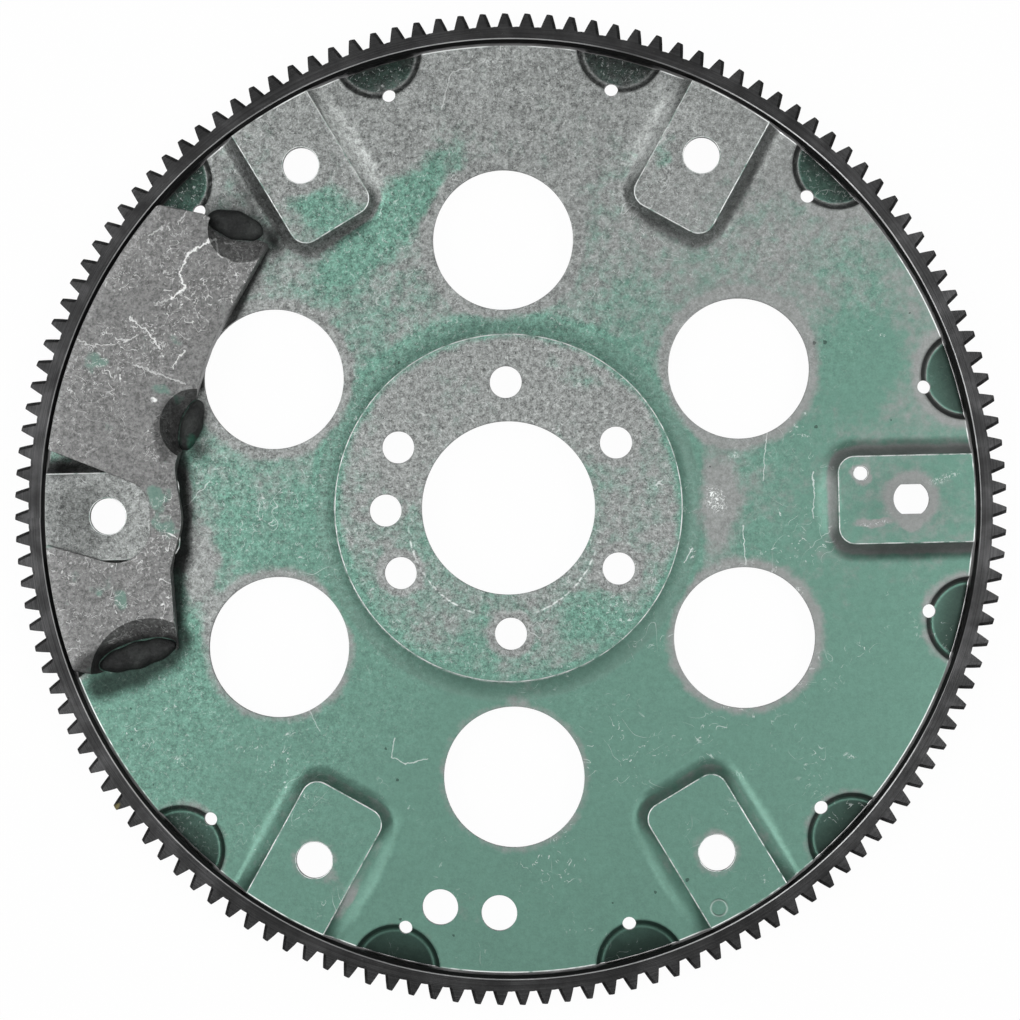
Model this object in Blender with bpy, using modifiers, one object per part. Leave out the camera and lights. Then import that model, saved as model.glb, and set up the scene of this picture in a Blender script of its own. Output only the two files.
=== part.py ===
"""Flexplate: a pressed steel disc with a starter ring gear and a balance weight welded to it.

The axis is +Z. The torque converter side faces up and the part lies on the rear face of its
ring gear. The origin is on the axis, in the plane that the gear rests on. Sizes are in metres.
Angle 0 is +X, where the converter pad with the slotted hole stands.
"""
import math

import bmesh
import bpy
from mathutils import Matrix

# Seats and gaps between the welded pieces
SEAT_GAP = 0.0003
RIM_GAP = 0.0008
WEIGHT_RIM_GAP = 0.0011

# Starter ring gear
TOOTH_COUNT = 139
GEAR_MODULE = 0.00254
PRESSURE_ANGLE = math.radians(20.0)
ADDENDUM_MODULES = 1.0
DEDENDUM_MODULES = 0.92
FIRST_TOOTH_ANGLE = math.radians(1.114)
RING_WIDTH = 0.011
RING_BACKING = 0.00575
RING_BORE_CHAMFER = 0.0012
TOOTH_CHAMFER_DEPTH = 0.0016
TOOTH_LEAD_CHAMFER = 0.0011
TOOTH_EDGE_BREAK = 0.0003

# Sheet of the disc, and the flank that runs down from each raised form
SHEET_THICKNESS = 0.003
FLANK_WIDTH = 0.007
FLANK_POWER = 2.2
FLANK_STEPS = 2
FORM_OVERRUN = 0.001

# Hub that seats on the crankshaft flange
HUB_RADIUS = 0.06275
HUB_RISE = 0.0025
BORE_RADIUS = 0.0313
CRANK_HOLE_COUNT = 6
CRANK_HOLE_RADIUS = 0.0058
CRANK_CIRCLE_RADIUS = 0.045466
DOWEL_HOLE_RADIUS = 0.0058
DOWEL_CIRCLE_RADIUS = 0.0444

# Raised pads for the torque converter, from the rim inwards
PAD_COUNT = 6
PAD_RISE = 0.005
PAD_HALF_WIDTH = 0.01585
PAD_LENGTH = 0.0489
PAD_CORNER_RADIUS = 0.006
PAD_HOLE_RADIUS = 0.00655
PAD_HOLE_FROM_RIM = 0.02285
PAD_SLOT_HALF_WIDTH = 0.0054
PAD_SLOT_HALF_LENGTH = 0.0064
PAD_SLOT_CORNER_RADIUS = 0.0051
PAD_GAUGE_HOLE_RADIUS = 0.0025
PAD_GAUGE_HOLE_FROM_RIM = 0.0407
PAD_GAUGE_HOLE_ASIDE = 0.0096

# Lightening holes and the two drilled balance holes
LIGHT_HOLE_COUNT = 6
LIGHT_HOLE_RADIUS = 0.0254
LIGHT_CIRCLE_RADIUS = 0.0972
BALANCE_HOLE_RADIUS = 0.00645
BALANCE_HOLE_FROM_RIM = 0.0214
BALANCE_HOLE_ANGLES = (-100.9, -92.5)

# Weld pockets pressed to the rear along the rim, with a relief hole at the top of each
POCKET_COUNT = 12
POCKET_RADIUS = 0.016
POCKET_CENTRE_PAST_RIM = 0.0039
POCKET_DEPTH = 0.0015
POCKET_DRAFT = 0.0018
POCKET_FALL = 0.12
RELIEF_HOLE_RADIUS = 0.00245
RELIEF_HOLE_PAST_EDGE = 0.0005

# Fillet welds between the pockets and the ring gear
RING_WELD_LEG = 0.0022
RING_WELD_HALF_LENGTH = 0.0125
RING_WELD_CLEAR_OF_REST = 0.00035
# Stations along half the weld with the share of the leg there, then the section of one leg
RING_WELD_STATIONS = ((-1.0, 0.45), (-0.7, 1.0), (0.0, 1.0), (0.7, 1.0), (1.0, 0.45))
RING_WELD_SECTION = ((0.0, 0.0), (1.0, 0.0), (0.78, 0.55), (0.55, 0.78), (0.0, 1.0))

# Balance weight: corners as distance in from the rim of the disc, angle, corner radius
WEIGHT_COVER = 0.003
WEIGHT_OUTER_CORNER_RADIUS = 0.002
WEIGHT_START_ANGLE = 137.9
WEIGHT_END_ANGLE = 199.4
WEIGHT_PAD_ANGLE = 180.0
WEIGHT_CORNERS = (
    (0.0147, 134.84, 0.004),
    (0.0390, 131.03, 0.0015),
    (0.0454, 150.60, 0.060),
    (0.0466, 171.90, 0.010),
    (0.0504, 181.47, 0.020),
    (0.0440, 189.08, 0.008),
    (0.0379, 201.96, 0.0015),
    (0.0067, 200.74, 0.005),
)
# Notch round the pad's bolt: distance in from the rim, distance aside, corner radius
NOTCH_DEPTH = 0.0387
NOTCH_SIDES = ((-0.0093, 0.011), (0.0216, 0.013))
NOTCH_MOUTH = (-0.0244, 0.0096)

# Welds of the weight: name, distance in from the rim, angle, direction, half length, half width,
# then the scallop above it: distance in from the rim, angle, radius
WEIGHT_WELDS = (
    ("weight_weld_upper", 0.0248, 132.80, -18.4, 0.0105, 0.0053, 0.0296, 132.65, 0.0125),
    ("weight_weld_inner", 0.0488, 164.13, 72.0, 0.0095, 0.0040, 0.0505, 163.89, 0.0133),
    ("weight_weld_lower", 0.0230, 200.44, 15.3, 0.0145, 0.0050, 0.0253, 204.04, 0.0220),
)
WELD_BEAD_HEIGHT = 0.0042
# Levels of a bead: share of its height, then of its length and its width
WELD_BEAD_LEVELS = ((0.0, 1.0, 1.0), (0.45, 0.95, 0.9), (0.85, 0.8, 0.6), (1.0, 0.55, 0.25))
SCALLOP_SILL = 0.0012

# Finishes: name, colour, roughness, metallic
DISC_FINISH = ("oiled_sheet_steel", (0.22, 0.30, 0.265), 0.45, 0.55)
GEAR_FINISH = ("dark_hardened_steel", (0.045, 0.045, 0.045), 0.45, 0.8)
WEIGHT_FINISH = ("bare_plate_steel", (0.24, 0.24, 0.235), 0.5, 0.6)
WELD_FINISH = ("weld_metal", (0.03, 0.033, 0.032), 0.4, 0.6)

# Smoothness of the round stretches
RIM_SEGMENTS = 120
BORE_SEGMENTS = 48
LIGHT_HOLE_SEGMENTS = 36
BOLT_HOLE_SEGMENTS = 20
SMALL_HOLE_SEGMENTS = 10
POCKET_SEGMENTS = 28
BEAD_SEGMENTS = 14
ARC_STEP = math.radians(22.5)
FLAT_ANGLE = math.radians(0.01)
SMOOTH_ANGLE = math.radians(30.0)
MERGE_DISTANCE = 0.000001
WEIGHT_ARC_STEPS = 24

# Radii that follow from the gear
PITCH_RADIUS = TOOTH_COUNT * GEAR_MODULE / 2.0
TIP_RADIUS = PITCH_RADIUS + ADDENDUM_MODULES * GEAR_MODULE
ROOT_RADIUS = PITCH_RADIUS - DEDENDUM_MODULES * GEAR_MODULE
BASE_RADIUS = PITCH_RADIUS * math.cos(PRESSURE_ANGLE)
RING_INNER_RADIUS = ROOT_RADIUS - RING_BACKING
DISC_RADIUS = RING_INNER_RADIUS - RIM_GAP
POCKET_CENTRE_RADIUS = DISC_RADIUS + POCKET_CENTRE_PAST_RIM
POCKET_EDGE_RADIUS = POCKET_CENTRE_RADIUS - POCKET_RADIUS

# Heights, built up from the rest plane through the ring welds and the pockets to the web
POCKET_DROP_AT_RING = POCKET_DEPTH + POCKET_FALL * (RING_INNER_RADIUS - POCKET_EDGE_RADIUS)
WEB_REAR = RING_WELD_CLEAR_OF_REST + RING_WELD_LEG + SEAT_GAP + POCKET_DROP_AT_RING
WEB_FRONT = WEB_REAR + SHEET_THICKNESS
PAD_FRONT = WEB_FRONT + PAD_RISE
WEIGHT_REAR = WEB_FRONT + SEAT_GAP
WEIGHT_FRONT = PAD_FRONT + SEAT_GAP + WEIGHT_COVER
CUT_OVERRUN = 0.01
CUT_BELOW = -CUT_OVERRUN
CUT_ABOVE = WEIGHT_FRONT + CUT_OVERRUN


def clear_scene():
    for existing in list(bpy.data.objects):
        bpy.data.objects.remove(existing, do_unlink=True)


def new_collection(name):
    collection = bpy.data.collections.new(name)
    bpy.context.scene.collection.children.link(collection)
    return collection


def steel(name, colour, roughness, metallic):
    material = bpy.data.materials.new(name)
    material.use_nodes = True
    shader = material.node_tree.nodes["Principled BSDF"]
    shader.inputs["Base Color"].default_value = (*colour, 1.0)
    shader.inputs["Roughness"].default_value = roughness
    shader.inputs["Metallic"].default_value = metallic
    return material


def add_object(name, mesh, collection, material=None):
    mesh.shade_smooth()
    mesh.set_sharp_from_angle(angle=SMOOTH_ANGLE)
    solid = bpy.data.objects.new(name, mesh)
    collection.objects.link(solid)
    if material is None:
        solid.hide_render = True
        solid.display_type = "WIRE"
    else:
        mesh.materials.append(material)
    return solid


def combine(target, operand, operation):
    """Adds a Boolean modifier whose operand is an object or a collection of cutters."""
    boolean = target.modifiers.new(operation.lower(), "BOOLEAN")
    boolean.operation = operation
    boolean.solver = "EXACT"
    if isinstance(operand, bpy.types.Collection):
        boolean.operand_type = "COLLECTION"
        boolean.collection = operand
    else:
        boolean.object = operand


def turn(angle_degrees):
    return Matrix.Rotation(math.radians(angle_degrees), 4, "Z")


def polar(radius, angle_degrees):
    angle = math.radians(angle_degrees)
    return radius * math.cos(angle), radius * math.sin(angle)


def cylinder(name, collection, radius, segments, x=0.0, y=0.0, low=CUT_BELOW, high=CUT_ABOVE):
    """A round block or drill with its axis along Z."""
    mesh = bpy.data.meshes.new(name)
    shape = bmesh.new()
    bmesh.ops.create_cone(shape, cap_ends=True, segments=segments, radius1=radius,
                          radius2=radius, depth=high - low)
    shape.to_mesh(mesh)
    shape.free()
    solid = add_object(name, mesh, collection)
    solid.location = (x, y, (low + high) / 2.0)
    return solid


def turned(name, collection, profile, segments):
    """A turned solid: the profile is (radius, height), from the axis down its outer side."""
    mesh = bpy.data.meshes.new(name)
    points = [(radius, 0.0, height) for radius, height in profile]
    mesh.from_pydata(points, [(i, i + 1) for i in range(len(points) - 1)], [])
    solid = add_object(name, mesh, collection)
    screw = solid.modifiers.new("turn", "SCREW")
    screw.axis = "Z"
    screw.steps = segments
    screw.render_steps = segments
    screw.use_merge_vertices = True
    screw.merge_threshold = MERGE_DISTANCE
    return solid


def loft(name, collection, sections, material=None):
    """A closed solid through sections that each have the same number of (x, y, z) points."""
    mesh = bpy.data.meshes.new(name)
    shape = bmesh.new()
    rings = [[shape.verts.new(point) for point in section] for section in sections]
    for lower, upper in zip(rings, rings[1:]):
        for i in range(len(lower)):
            shape.faces.new((lower[i - 1], lower[i], upper[i], upper[i - 1]))
    shape.faces.new(rings[0])
    shape.faces.new(rings[-1])
    bmesh.ops.connect_verts_nonplanar(shape, angle_limit=FLAT_ANGLE, faces=shape.faces)
    bmesh.ops.recalc_face_normals(shape, faces=shape.faces)
    shape.to_mesh(mesh)
    shape.free()
    return add_object(name, mesh, collection, material)


def plate(name, collection, outline, low, high, material=None):
    """A flat outline of (x, y) points, filled and given its thickness."""
    curve = bpy.data.curves.new(name, "CURVE")
    curve.dimensions = "2D"
    curve.fill_mode = "BOTH"
    curve.extrude = (high - low) / 2.0
    spline = curve.splines.new("POLY")
    spline.points.add(len(outline) - 1)
    for point, (x, y) in zip(spline.points, outline):
        point.co = (x, y, 0.0, 1.0)
    spline.use_cyclic_u = True
    drawn = bpy.data.objects.new(name + "_outline", curve)
    collection.objects.link(drawn)
    drawn.location.z = (low + high) / 2.0
    bpy.context.view_layer.update()
    depsgraph = bpy.context.evaluated_depsgraph_get()
    mesh = bpy.data.meshes.new_from_object(drawn.evaluated_get(depsgraph))
    mesh.transform(drawn.matrix_world)
    bpy.data.objects.remove(drawn, do_unlink=True)
    bpy.data.curves.remove(curve)
    shape = bmesh.new()
    shape.from_mesh(mesh)
    bmesh.ops.remove_doubles(shape, verts=shape.verts, dist=MERGE_DISTANCE)
    bmesh.ops.recalc_face_normals(shape, faces=shape.faces)
    shape.to_mesh(mesh)
    shape.free()
    mesh.name = name
    return add_object(name, mesh, collection, material)


def rounded(corners):
    """Points of an outline given by its (x, y, radius) corners, each rounded by an arc."""
    points = []
    for i, (x, y, radius) in enumerate(corners):
        if radius == 0.0:
            points.append((x, y))
            continue
        before = corners[i - 1]
        after = corners[(i + 1) % len(corners)]
        heading_in = math.atan2(y - before[1], x - before[0])
        heading_out = math.atan2(after[1] - y, after[0] - x)
        bend = (heading_out - heading_in + math.pi) % (2.0 * math.pi) - math.pi
        tangent = radius * math.tan(abs(bend) / 2.0)
        side = math.copysign(1.0, bend)
        start_x = x - tangent * math.cos(heading_in)
        start_y = y - tangent * math.sin(heading_in)
        centre_x = start_x - side * radius * math.sin(heading_in)
        centre_y = start_y + side * radius * math.cos(heading_in)
        steps = max(1, math.ceil(abs(bend) / ARC_STEP))
        for step in range(steps + 1):
            heading = heading_in + bend * step / steps
            points.append((centre_x + side * radius * math.sin(heading),
                           centre_y - side * radius * math.cos(heading)))
    return points


def ellipse(x, y, half_length, half_width, direction_degrees, segments):
    direction = math.radians(direction_degrees)
    points = []
    for i in range(segments):
        angle = 2.0 * math.pi * i / segments
        along = half_length * math.cos(angle)
        aside = half_width * math.sin(angle)
        points.append((x + along * math.cos(direction) - aside * math.sin(direction),
                       y + along * math.sin(direction) + aside * math.cos(direction)))
    return points


def at_height(outline, height):
    return [(x, y, height) for x, y in outline]


def flank(rise):
    """Side of a raised form as (distance out, height above the web), easing into the web."""
    profile = []
    for step in range(FLANK_STEPS + 1):
        share = step / FLANK_STEPS
        profile.append((FLANK_WIDTH * share, rise * (1.0 - share) ** FLANK_POWER))
    return profile


def offset_profile(profile, depth):
    """The profile moved down square to itself by depth, as the far side of a pressed sheet."""
    headings = [0.0]
    for (out_a, up_a), (out_b, up_b) in zip(profile, profile[1:]):
        headings.append(math.atan2(up_b - up_a, out_b - out_a))
    headings.append(0.0)
    moved = []
    for (out, up), before, after in zip(profile, headings, headings[1:]):
        middle = (before + after) / 2.0
        length = depth / math.cos((after - before) / 2.0)
        moved.append((out + length * math.sin(middle), up - length * math.cos(middle)))
    return moved


def run_past(profile):
    """Carries the profile's last stretch on past the web, so that no edge lies in the web."""
    (out_a, up_a), (out_b, up_b) = profile[-2:]
    slope = (up_b - up_a) / (out_b - out_a)
    return profile[:-1] + [(out_b + FORM_OVERRUN, up_b + slope * FORM_OVERRUN)]


def pad_outline(grow):
    """Outline of a converter pad along +X, open-ended past the rim, grown on all sides."""
    inner = DISC_RADIUS - PAD_LENGTH - grow
    outer = DISC_RADIUS + 2.0 * FLANK_WIDTH + grow
    half = PAD_HALF_WIDTH + grow
    corner = max(PAD_CORNER_RADIUS + grow, SHEET_THICKNESS)
    return rounded(((outer, -half, 0.0), (outer, half, 0.0),
                    (inner, half, corner), (inner, -half, corner)))


def pad_form(name, collection, angle, profile):
    sections = [at_height(pad_outline(out), WEB_FRONT + up) for out, up in profile]
    form = loft(name, collection, sections)
    form.matrix_world = turn(angle)
    return form


def pocket_floor(radius):
    """How far the sloping floor of a weld pocket has fallen at a radius."""
    return POCKET_FALL * (radius - POCKET_EDGE_RADIUS)


def pocket_form(name, collection, angle, profile):
    """A half-round pocket along +X whose floor falls towards the ring gear."""
    sections = []
    for level, (out, up) in enumerate(profile):
        outline = ellipse(POCKET_CENTRE_RADIUS, 0.0, POCKET_RADIUS + out, POCKET_RADIUS + out,
                          0.0, POCKET_SEGMENTS)
        if level == 0:
            sections.append([(x, y, WEB_FRONT + up - pocket_floor(x)) for x, y in outline])
        else:
            sections.append(at_height(outline, WEB_FRONT + up))
    form = loft(name, collection, sections)
    form.matrix_world = turn(angle)
    return form


def pressed_block(name, forms, depth, raised, pockets):
    """A block whose top is one face of the pressed sheet, lying depth under the front face."""
    block = cylinder(name, forms, DISC_RADIUS + FLANK_WIDTH / 2.0 + depth, RIM_SEGMENTS,
                     low=CUT_BELOW - depth, high=WEB_FRONT - depth)
    pad_profile = run_past(offset_profile(flank(PAD_RISE), depth))
    for i in range(PAD_COUNT):
        pad_form(f"{name}_pad_{i}", raised, 360.0 * i / PAD_COUNT, pad_profile)
    hub_side = run_past(offset_profile(flank(HUB_RISE), depth))
    hub_side = [(HUB_RADIUS + out, WEB_FRONT + up) for out, up in hub_side]
    hub_profile = [(0.0, hub_side[0][1])] + hub_side + [(0.0, hub_side[-1][1])]
    turned(name + "_hub", raised, hub_profile, BORE_SEGMENTS)
    wall = run_past(offset_profile([(-POCKET_DRAFT, -POCKET_DEPTH), (0.0, 0.0)], depth))
    for i in range(POCKET_COUNT):
        pocket_form(f"{name}_pocket_{i}", pockets, 360.0 * (i + 0.5) / POCKET_COUNT, wall)
    combine(block, raised, "UNION")
    combine(block, pockets, "DIFFERENCE")
    return block


def drill_disc(holes):
    """Every hole that goes through the disc."""
    cylinder("bore", holes, BORE_RADIUS, BORE_SEGMENTS)
    for i in range(CRANK_HOLE_COUNT):
        x, y = polar(CRANK_CIRCLE_RADIUS, 360.0 * (i + 0.5) / CRANK_HOLE_COUNT)
        cylinder(f"crank_hole_{i}", holes, CRANK_HOLE_RADIUS, BOLT_HOLE_SEGMENTS, x, y)
    cylinder("dowel_hole", holes, DOWEL_HOLE_RADIUS, BOLT_HOLE_SEGMENTS, -DOWEL_CIRCLE_RADIUS)
    for i in range(LIGHT_HOLE_COUNT):
        x, y = polar(LIGHT_CIRCLE_RADIUS, 360.0 * (i + 0.5) / LIGHT_HOLE_COUNT)
        cylinder(f"light_hole_{i}", holes, LIGHT_HOLE_RADIUS, LIGHT_HOLE_SEGMENTS, x, y)
    pad_hole_circle = DISC_RADIUS - PAD_HOLE_FROM_RIM
    for i in range(1, PAD_COUNT):
        x, y = polar(pad_hole_circle, 360.0 * i / PAD_COUNT)
        cylinder(f"pad_hole_{i}", holes, PAD_HOLE_RADIUS, BOLT_HOLE_SEGMENTS, x, y)
    slot_ends = (pad_hole_circle - PAD_SLOT_HALF_LENGTH, pad_hole_circle + PAD_SLOT_HALF_LENGTH)
    slot = rounded(((slot_ends[1], -PAD_SLOT_HALF_WIDTH, PAD_SLOT_CORNER_RADIUS),
                    (slot_ends[1], PAD_SLOT_HALF_WIDTH, PAD_SLOT_CORNER_RADIUS),
                    (slot_ends[0], PAD_SLOT_HALF_WIDTH, PAD_SLOT_CORNER_RADIUS),
                    (slot_ends[0], -PAD_SLOT_HALF_WIDTH, PAD_SLOT_CORNER_RADIUS)))
    plate("pad_slot", holes, slot, CUT_BELOW, CUT_ABOVE)
    cylinder("pad_gauge_hole", holes, PAD_GAUGE_HOLE_RADIUS, SMALL_HOLE_SEGMENTS,
             DISC_RADIUS - PAD_GAUGE_HOLE_FROM_RIM, PAD_GAUGE_HOLE_ASIDE)
    for i, angle in enumerate(BALANCE_HOLE_ANGLES):
        x, y = polar(DISC_RADIUS - BALANCE_HOLE_FROM_RIM, angle)
        cylinder(f"balance_hole_{i}", holes, BALANCE_HOLE_RADIUS, BOLT_HOLE_SEGMENTS, x, y)
    for i in range(POCKET_COUNT):
        x, y = polar(POCKET_EDGE_RADIUS + RELIEF_HOLE_PAST_EDGE, 360.0 * (i + 0.5) / POCKET_COUNT)
        cylinder(f"relief_hole_{i}", holes, RELIEF_HOLE_RADIUS, SMALL_HOLE_SEGMENTS, x, y)


def build_disc(parts, material):
    """The pressed disc: the block under its front face, less the one under its rear face."""
    forms = new_collection("pressing_forms")
    disc = pressed_block("flexplate_disc", forms, 0.0, new_collection("front_raised_forms"),
                         new_collection("front_pocket_forms"))
    rear = pressed_block("rear_block", forms, SHEET_THICKNESS,
                         new_collection("rear_raised_forms"),
                         new_collection("rear_pocket_forms"))
    forms.objects.unlink(disc)
    parts.objects.link(disc)
    disc.hide_render = False
    disc.display_type = "TEXTURED"
    disc.data.materials.append(material)
    combine(disc, cylinder("rim_trim", forms, DISC_RADIUS, RIM_SEGMENTS), "INTERSECT")
    combine(disc, rear, "DIFFERENCE")
    holes = new_collection("disc_holes")
    drill_disc(holes)
    combine(disc, holes, "DIFFERENCE")


def tooth_half_angle(radius):
    """Half the angle that an involute tooth spans at a radius."""
    def involute(angle):
        return math.tan(angle) - angle
    at_pitch = math.pi / (2.0 * TOOTH_COUNT)
    pressure = math.acos(min(1.0, BASE_RADIUS / radius))
    return at_pitch + involute(PRESSURE_ANGLE) - involute(pressure)


def gear_outline(lead, trail, tip, root):
    """Outline of all teeth, with the lead and trail flanks, tips and roots cut back."""
    radii = (ROOT_RADIUS - root, PITCH_RADIUS, TIP_RADIUS - tip)
    points = []
    for tooth in range(TOOTH_COUNT):
        centre = FIRST_TOOTH_ANGLE + 2.0 * math.pi * tooth / TOOTH_COUNT
        for radius in radii:
            angle = centre - tooth_half_angle(radius) + lead / radius
            points.append((radius * math.cos(angle), radius * math.sin(angle)))
        for radius in reversed(radii):
            angle = centre + tooth_half_angle(radius) - trail / radius
            points.append((radius * math.cos(angle), radius * math.sin(angle)))
    return points


def build_ring_gear(parts, material):
    """Starter ring gear: involute teeth with a lead-in chamfer on the flank the pinion meets."""
    full = gear_outline(0.0, 0.0, 0.0, 0.0)
    chamfered = gear_outline(TOOTH_LEAD_CHAMFER, TOOTH_EDGE_BREAK, TOOTH_EDGE_BREAK,
                             TOOTH_EDGE_BREAK)
    sections = [at_height(full, 0.0), at_height(full, RING_WIDTH - TOOTH_CHAMFER_DEPTH),
                at_height(chamfered, RING_WIDTH)]
    gear = loft("ring_gear", parts, sections, material)
    flare = RING_BORE_CHAMFER + FORM_OVERRUN
    profile = ((0.0, RING_WIDTH + FORM_OVERRUN),
               (RING_INNER_RADIUS + flare, RING_WIDTH + FORM_OVERRUN),
               (RING_INNER_RADIUS, RING_WIDTH - RING_BORE_CHAMFER),
               (RING_INNER_RADIUS, -FORM_OVERRUN), (0.0, -FORM_OVERRUN))
    cutters = new_collection("gear_cutters")
    combine(gear, turned("gear_bore", cutters, profile, TOOTH_COUNT), "DIFFERENCE")


def build_ring_welds(parts, material):
    """One fillet weld under each pocket, in the corner between the disc and the ring gear."""
    wall = RING_INNER_RADIUS - SEAT_GAP
    for i in range(POCKET_COUNT):
        middle = 360.0 * (i + 0.5) / POCKET_COUNT
        sections = []
        for share, swell in RING_WELD_STATIONS:
            leg = RING_WELD_LEG * swell
            angle = middle + math.degrees(share * RING_WELD_HALF_LENGTH / wall)
            section = []
            for back, down in RING_WELD_SECTION:
                radius = wall - back * leg
                top = WEB_REAR - POCKET_DEPTH - pocket_floor(radius) - SEAT_GAP
                x, y = polar(radius, angle)
                section.append((x, y, top - down * leg))
            sections.append(section)
        loft(f"ring_weld_{i + 1:02d}", parts, sections, material)


def weight_outline():
    """Outline of the balance weight, with its outer edge along the rim of the disc."""
    outer = RING_INNER_RADIUS - WEIGHT_RIM_GAP
    corners = [(*polar(outer, WEIGHT_START_ANGLE), WEIGHT_OUTER_CORNER_RADIUS)]
    for inset, angle, radius in WEIGHT_CORNERS:
        corners.append((*polar(DISC_RADIUS - inset, angle), radius))
    corners.append((*polar(outer, WEIGHT_END_ANGLE), WEIGHT_OUTER_CORNER_RADIUS))
    for step in range(1, WEIGHT_ARC_STEPS):
        share = step / WEIGHT_ARC_STEPS
        angle = WEIGHT_END_ANGLE + (WEIGHT_START_ANGLE - WEIGHT_END_ANGLE) * share
        corners.append((*polar(outer, angle), 0.0))
    return rounded(corners)


def notch_outline():
    """Opening round the bolt of the pad under the weight, drawn with the pad along +X."""
    inner = DISC_RADIUS - NOTCH_DEPTH
    mouth = DISC_RADIUS + FLANK_WIDTH
    (aside_a, radius_a), (aside_b, radius_b) = NOTCH_SIDES
    return rounded(((mouth, NOTCH_MOUTH[0], 0.0), (mouth, NOTCH_MOUTH[1], 0.0),
                    (inner, aside_b, radius_b), (inner, aside_a, radius_a)))


def build_balance_weight(parts, weight_material, weld_material):
    """The weight plate lies on the web, bridges one pad and is welded in three scallops."""
    weight = plate("balance_weight", parts, weight_outline(), WEIGHT_REAR, WEIGHT_FRONT,
                   weight_material)
    cutters = new_collection("weight_cutters")
    notch = plate("bolt_notch", cutters, notch_outline(), CUT_BELOW, CUT_ABOVE)
    notch.matrix_world = turn(WEIGHT_PAD_ANGLE) @ notch.matrix_world
    pad_relief = run_past(offset_profile(flank(PAD_RISE), -SEAT_GAP))
    pad_form("pad_relief", cutters, WEIGHT_PAD_ANGLE, pad_relief)
    for name, inset, angle, heading, length, width, top_inset, top_angle, radius in WEIGHT_WELDS:
        x, y = polar(DISC_RADIUS - inset, angle)
        seat = ellipse(x, y, length + SEAT_GAP, width + SEAT_GAP, heading, BEAD_SEGMENTS)
        x_top, y_top = polar(DISC_RADIUS - top_inset, top_angle)
        mouth = ellipse(x_top, y_top, radius, radius, heading, BEAD_SEGMENTS)
        loft(name + "_scallop", cutters,
             [at_height(seat, WEIGHT_REAR - FORM_OVERRUN),
              at_height(seat, WEIGHT_REAR + SCALLOP_SILL),
              at_height(mouth, WEIGHT_FRONT + FORM_OVERRUN)])
        dome = []
        for rise, along, aside in WELD_BEAD_LEVELS:
            bead = ellipse(x, y, length * along, width * aside, heading, BEAD_SEGMENTS)
            dome.append(at_height(bead, WEIGHT_REAR + rise * WELD_BEAD_HEIGHT))
        loft(name, parts, dome, weld_material)
    combine(weight, cutters, "DIFFERENCE")


def main():
    clear_scene()
    parts = new_collection("flexplate")
    weld_finish = steel(*WELD_FINISH)
    build_disc(parts, steel(*DISC_FINISH))
    build_ring_gear(parts, steel(*GEAR_FINISH))
    build_ring_welds(parts, weld_finish)
    build_balance_weight(parts, steel(*WEIGHT_FINISH), weld_finish)


main()
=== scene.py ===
"""Flexplate: the pressed disc, starter ring gear, balance weight and welds, dressed for a studio view.

The axis is +Z and the torque converter side faces up. Sizes are in metres, angle 0 is +X.
"""
import math

import bmesh
import bpy
from bpy.props import FloatProperty, FloatVectorProperty, IntProperty, PointerProperty
from mathutils import Matrix, Vector


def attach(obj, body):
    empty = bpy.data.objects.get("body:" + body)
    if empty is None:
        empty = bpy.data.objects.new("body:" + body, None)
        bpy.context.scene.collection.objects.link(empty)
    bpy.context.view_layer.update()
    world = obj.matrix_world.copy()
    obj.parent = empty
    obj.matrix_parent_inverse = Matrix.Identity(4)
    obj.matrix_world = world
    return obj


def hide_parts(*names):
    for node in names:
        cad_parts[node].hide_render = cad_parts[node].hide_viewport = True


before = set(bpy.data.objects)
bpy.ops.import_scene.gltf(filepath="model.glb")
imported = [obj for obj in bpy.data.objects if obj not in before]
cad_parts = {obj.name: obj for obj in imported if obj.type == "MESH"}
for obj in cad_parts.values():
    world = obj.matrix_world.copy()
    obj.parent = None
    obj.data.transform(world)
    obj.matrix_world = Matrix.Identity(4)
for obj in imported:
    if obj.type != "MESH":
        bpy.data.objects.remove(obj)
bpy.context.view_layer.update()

bl_info = {
    "name": "Flexplate",
    "version": (1, 0, 0),
    "blender": (4, 5, 0),
    "location": "3D View > Sidebar > Flexplate",
    "description": "Builds a welded flexplate with its ring gear, balance weight and studio",
    "category": "Object",
}

# Heights of the pressed sheet over the plane that the ring gear rests on
WEB_FRONT = 0.0088979
CUT_BELOW = -0.012
CUT_ABOVE = 0.030

# Rows of holes and pockets: how many go round, and the angle of the first
SIX_ROUND = 6
TWELVE_ROUND = 12
HOLE_ROW_START = 30.0
POCKET_ROW_START = 15.0

# Single and small holes of the disc
DOWEL_CIRCLE = 0.0444
DOWEL_HOLE_RADIUS = 0.0058
RELIEF_HOLE_RADIUS = 0.00245
RELIEF_HOLE_SHIFT = 0.0005
SLOT_RADIUS = 0.0064
SLOT_HALF_WIDTH = 0.0054
GAUGE_HOLE_RADIUS = 0.0025
GAUGE_HOLE_INSET = 0.0407
GAUGE_HOLE_ASIDE = 0.0096
BALANCE_HOLE_RADIUS = 0.00645
BALANCE_HOLE_INSET = 0.0214
BALANCE_HOLE_ANGLES = (-100.9, -92.5)
SMALL_HOLE_EASE = 0.0002

# Ring gear: tooth root under the pitch circle in modules, turn of the first tooth, edges
DEDENDUM = 0.92
PRESSURE_ANGLE = 20.0
FIRST_TOOTH = 1.114
LEAD_CHAMFER = 0.0011
BORE_CHAMFER = 0.0012
BROKEN_EDGE = 0.0002

# Small plain ring punched in the sheet
PUNCHED_RING_CENTRE = (0.07265, -0.14512, 0.0)
PUNCHED_RING_RADIUS = 0.0029
PUNCHED_RING_WIDTH = 0.0006

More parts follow.
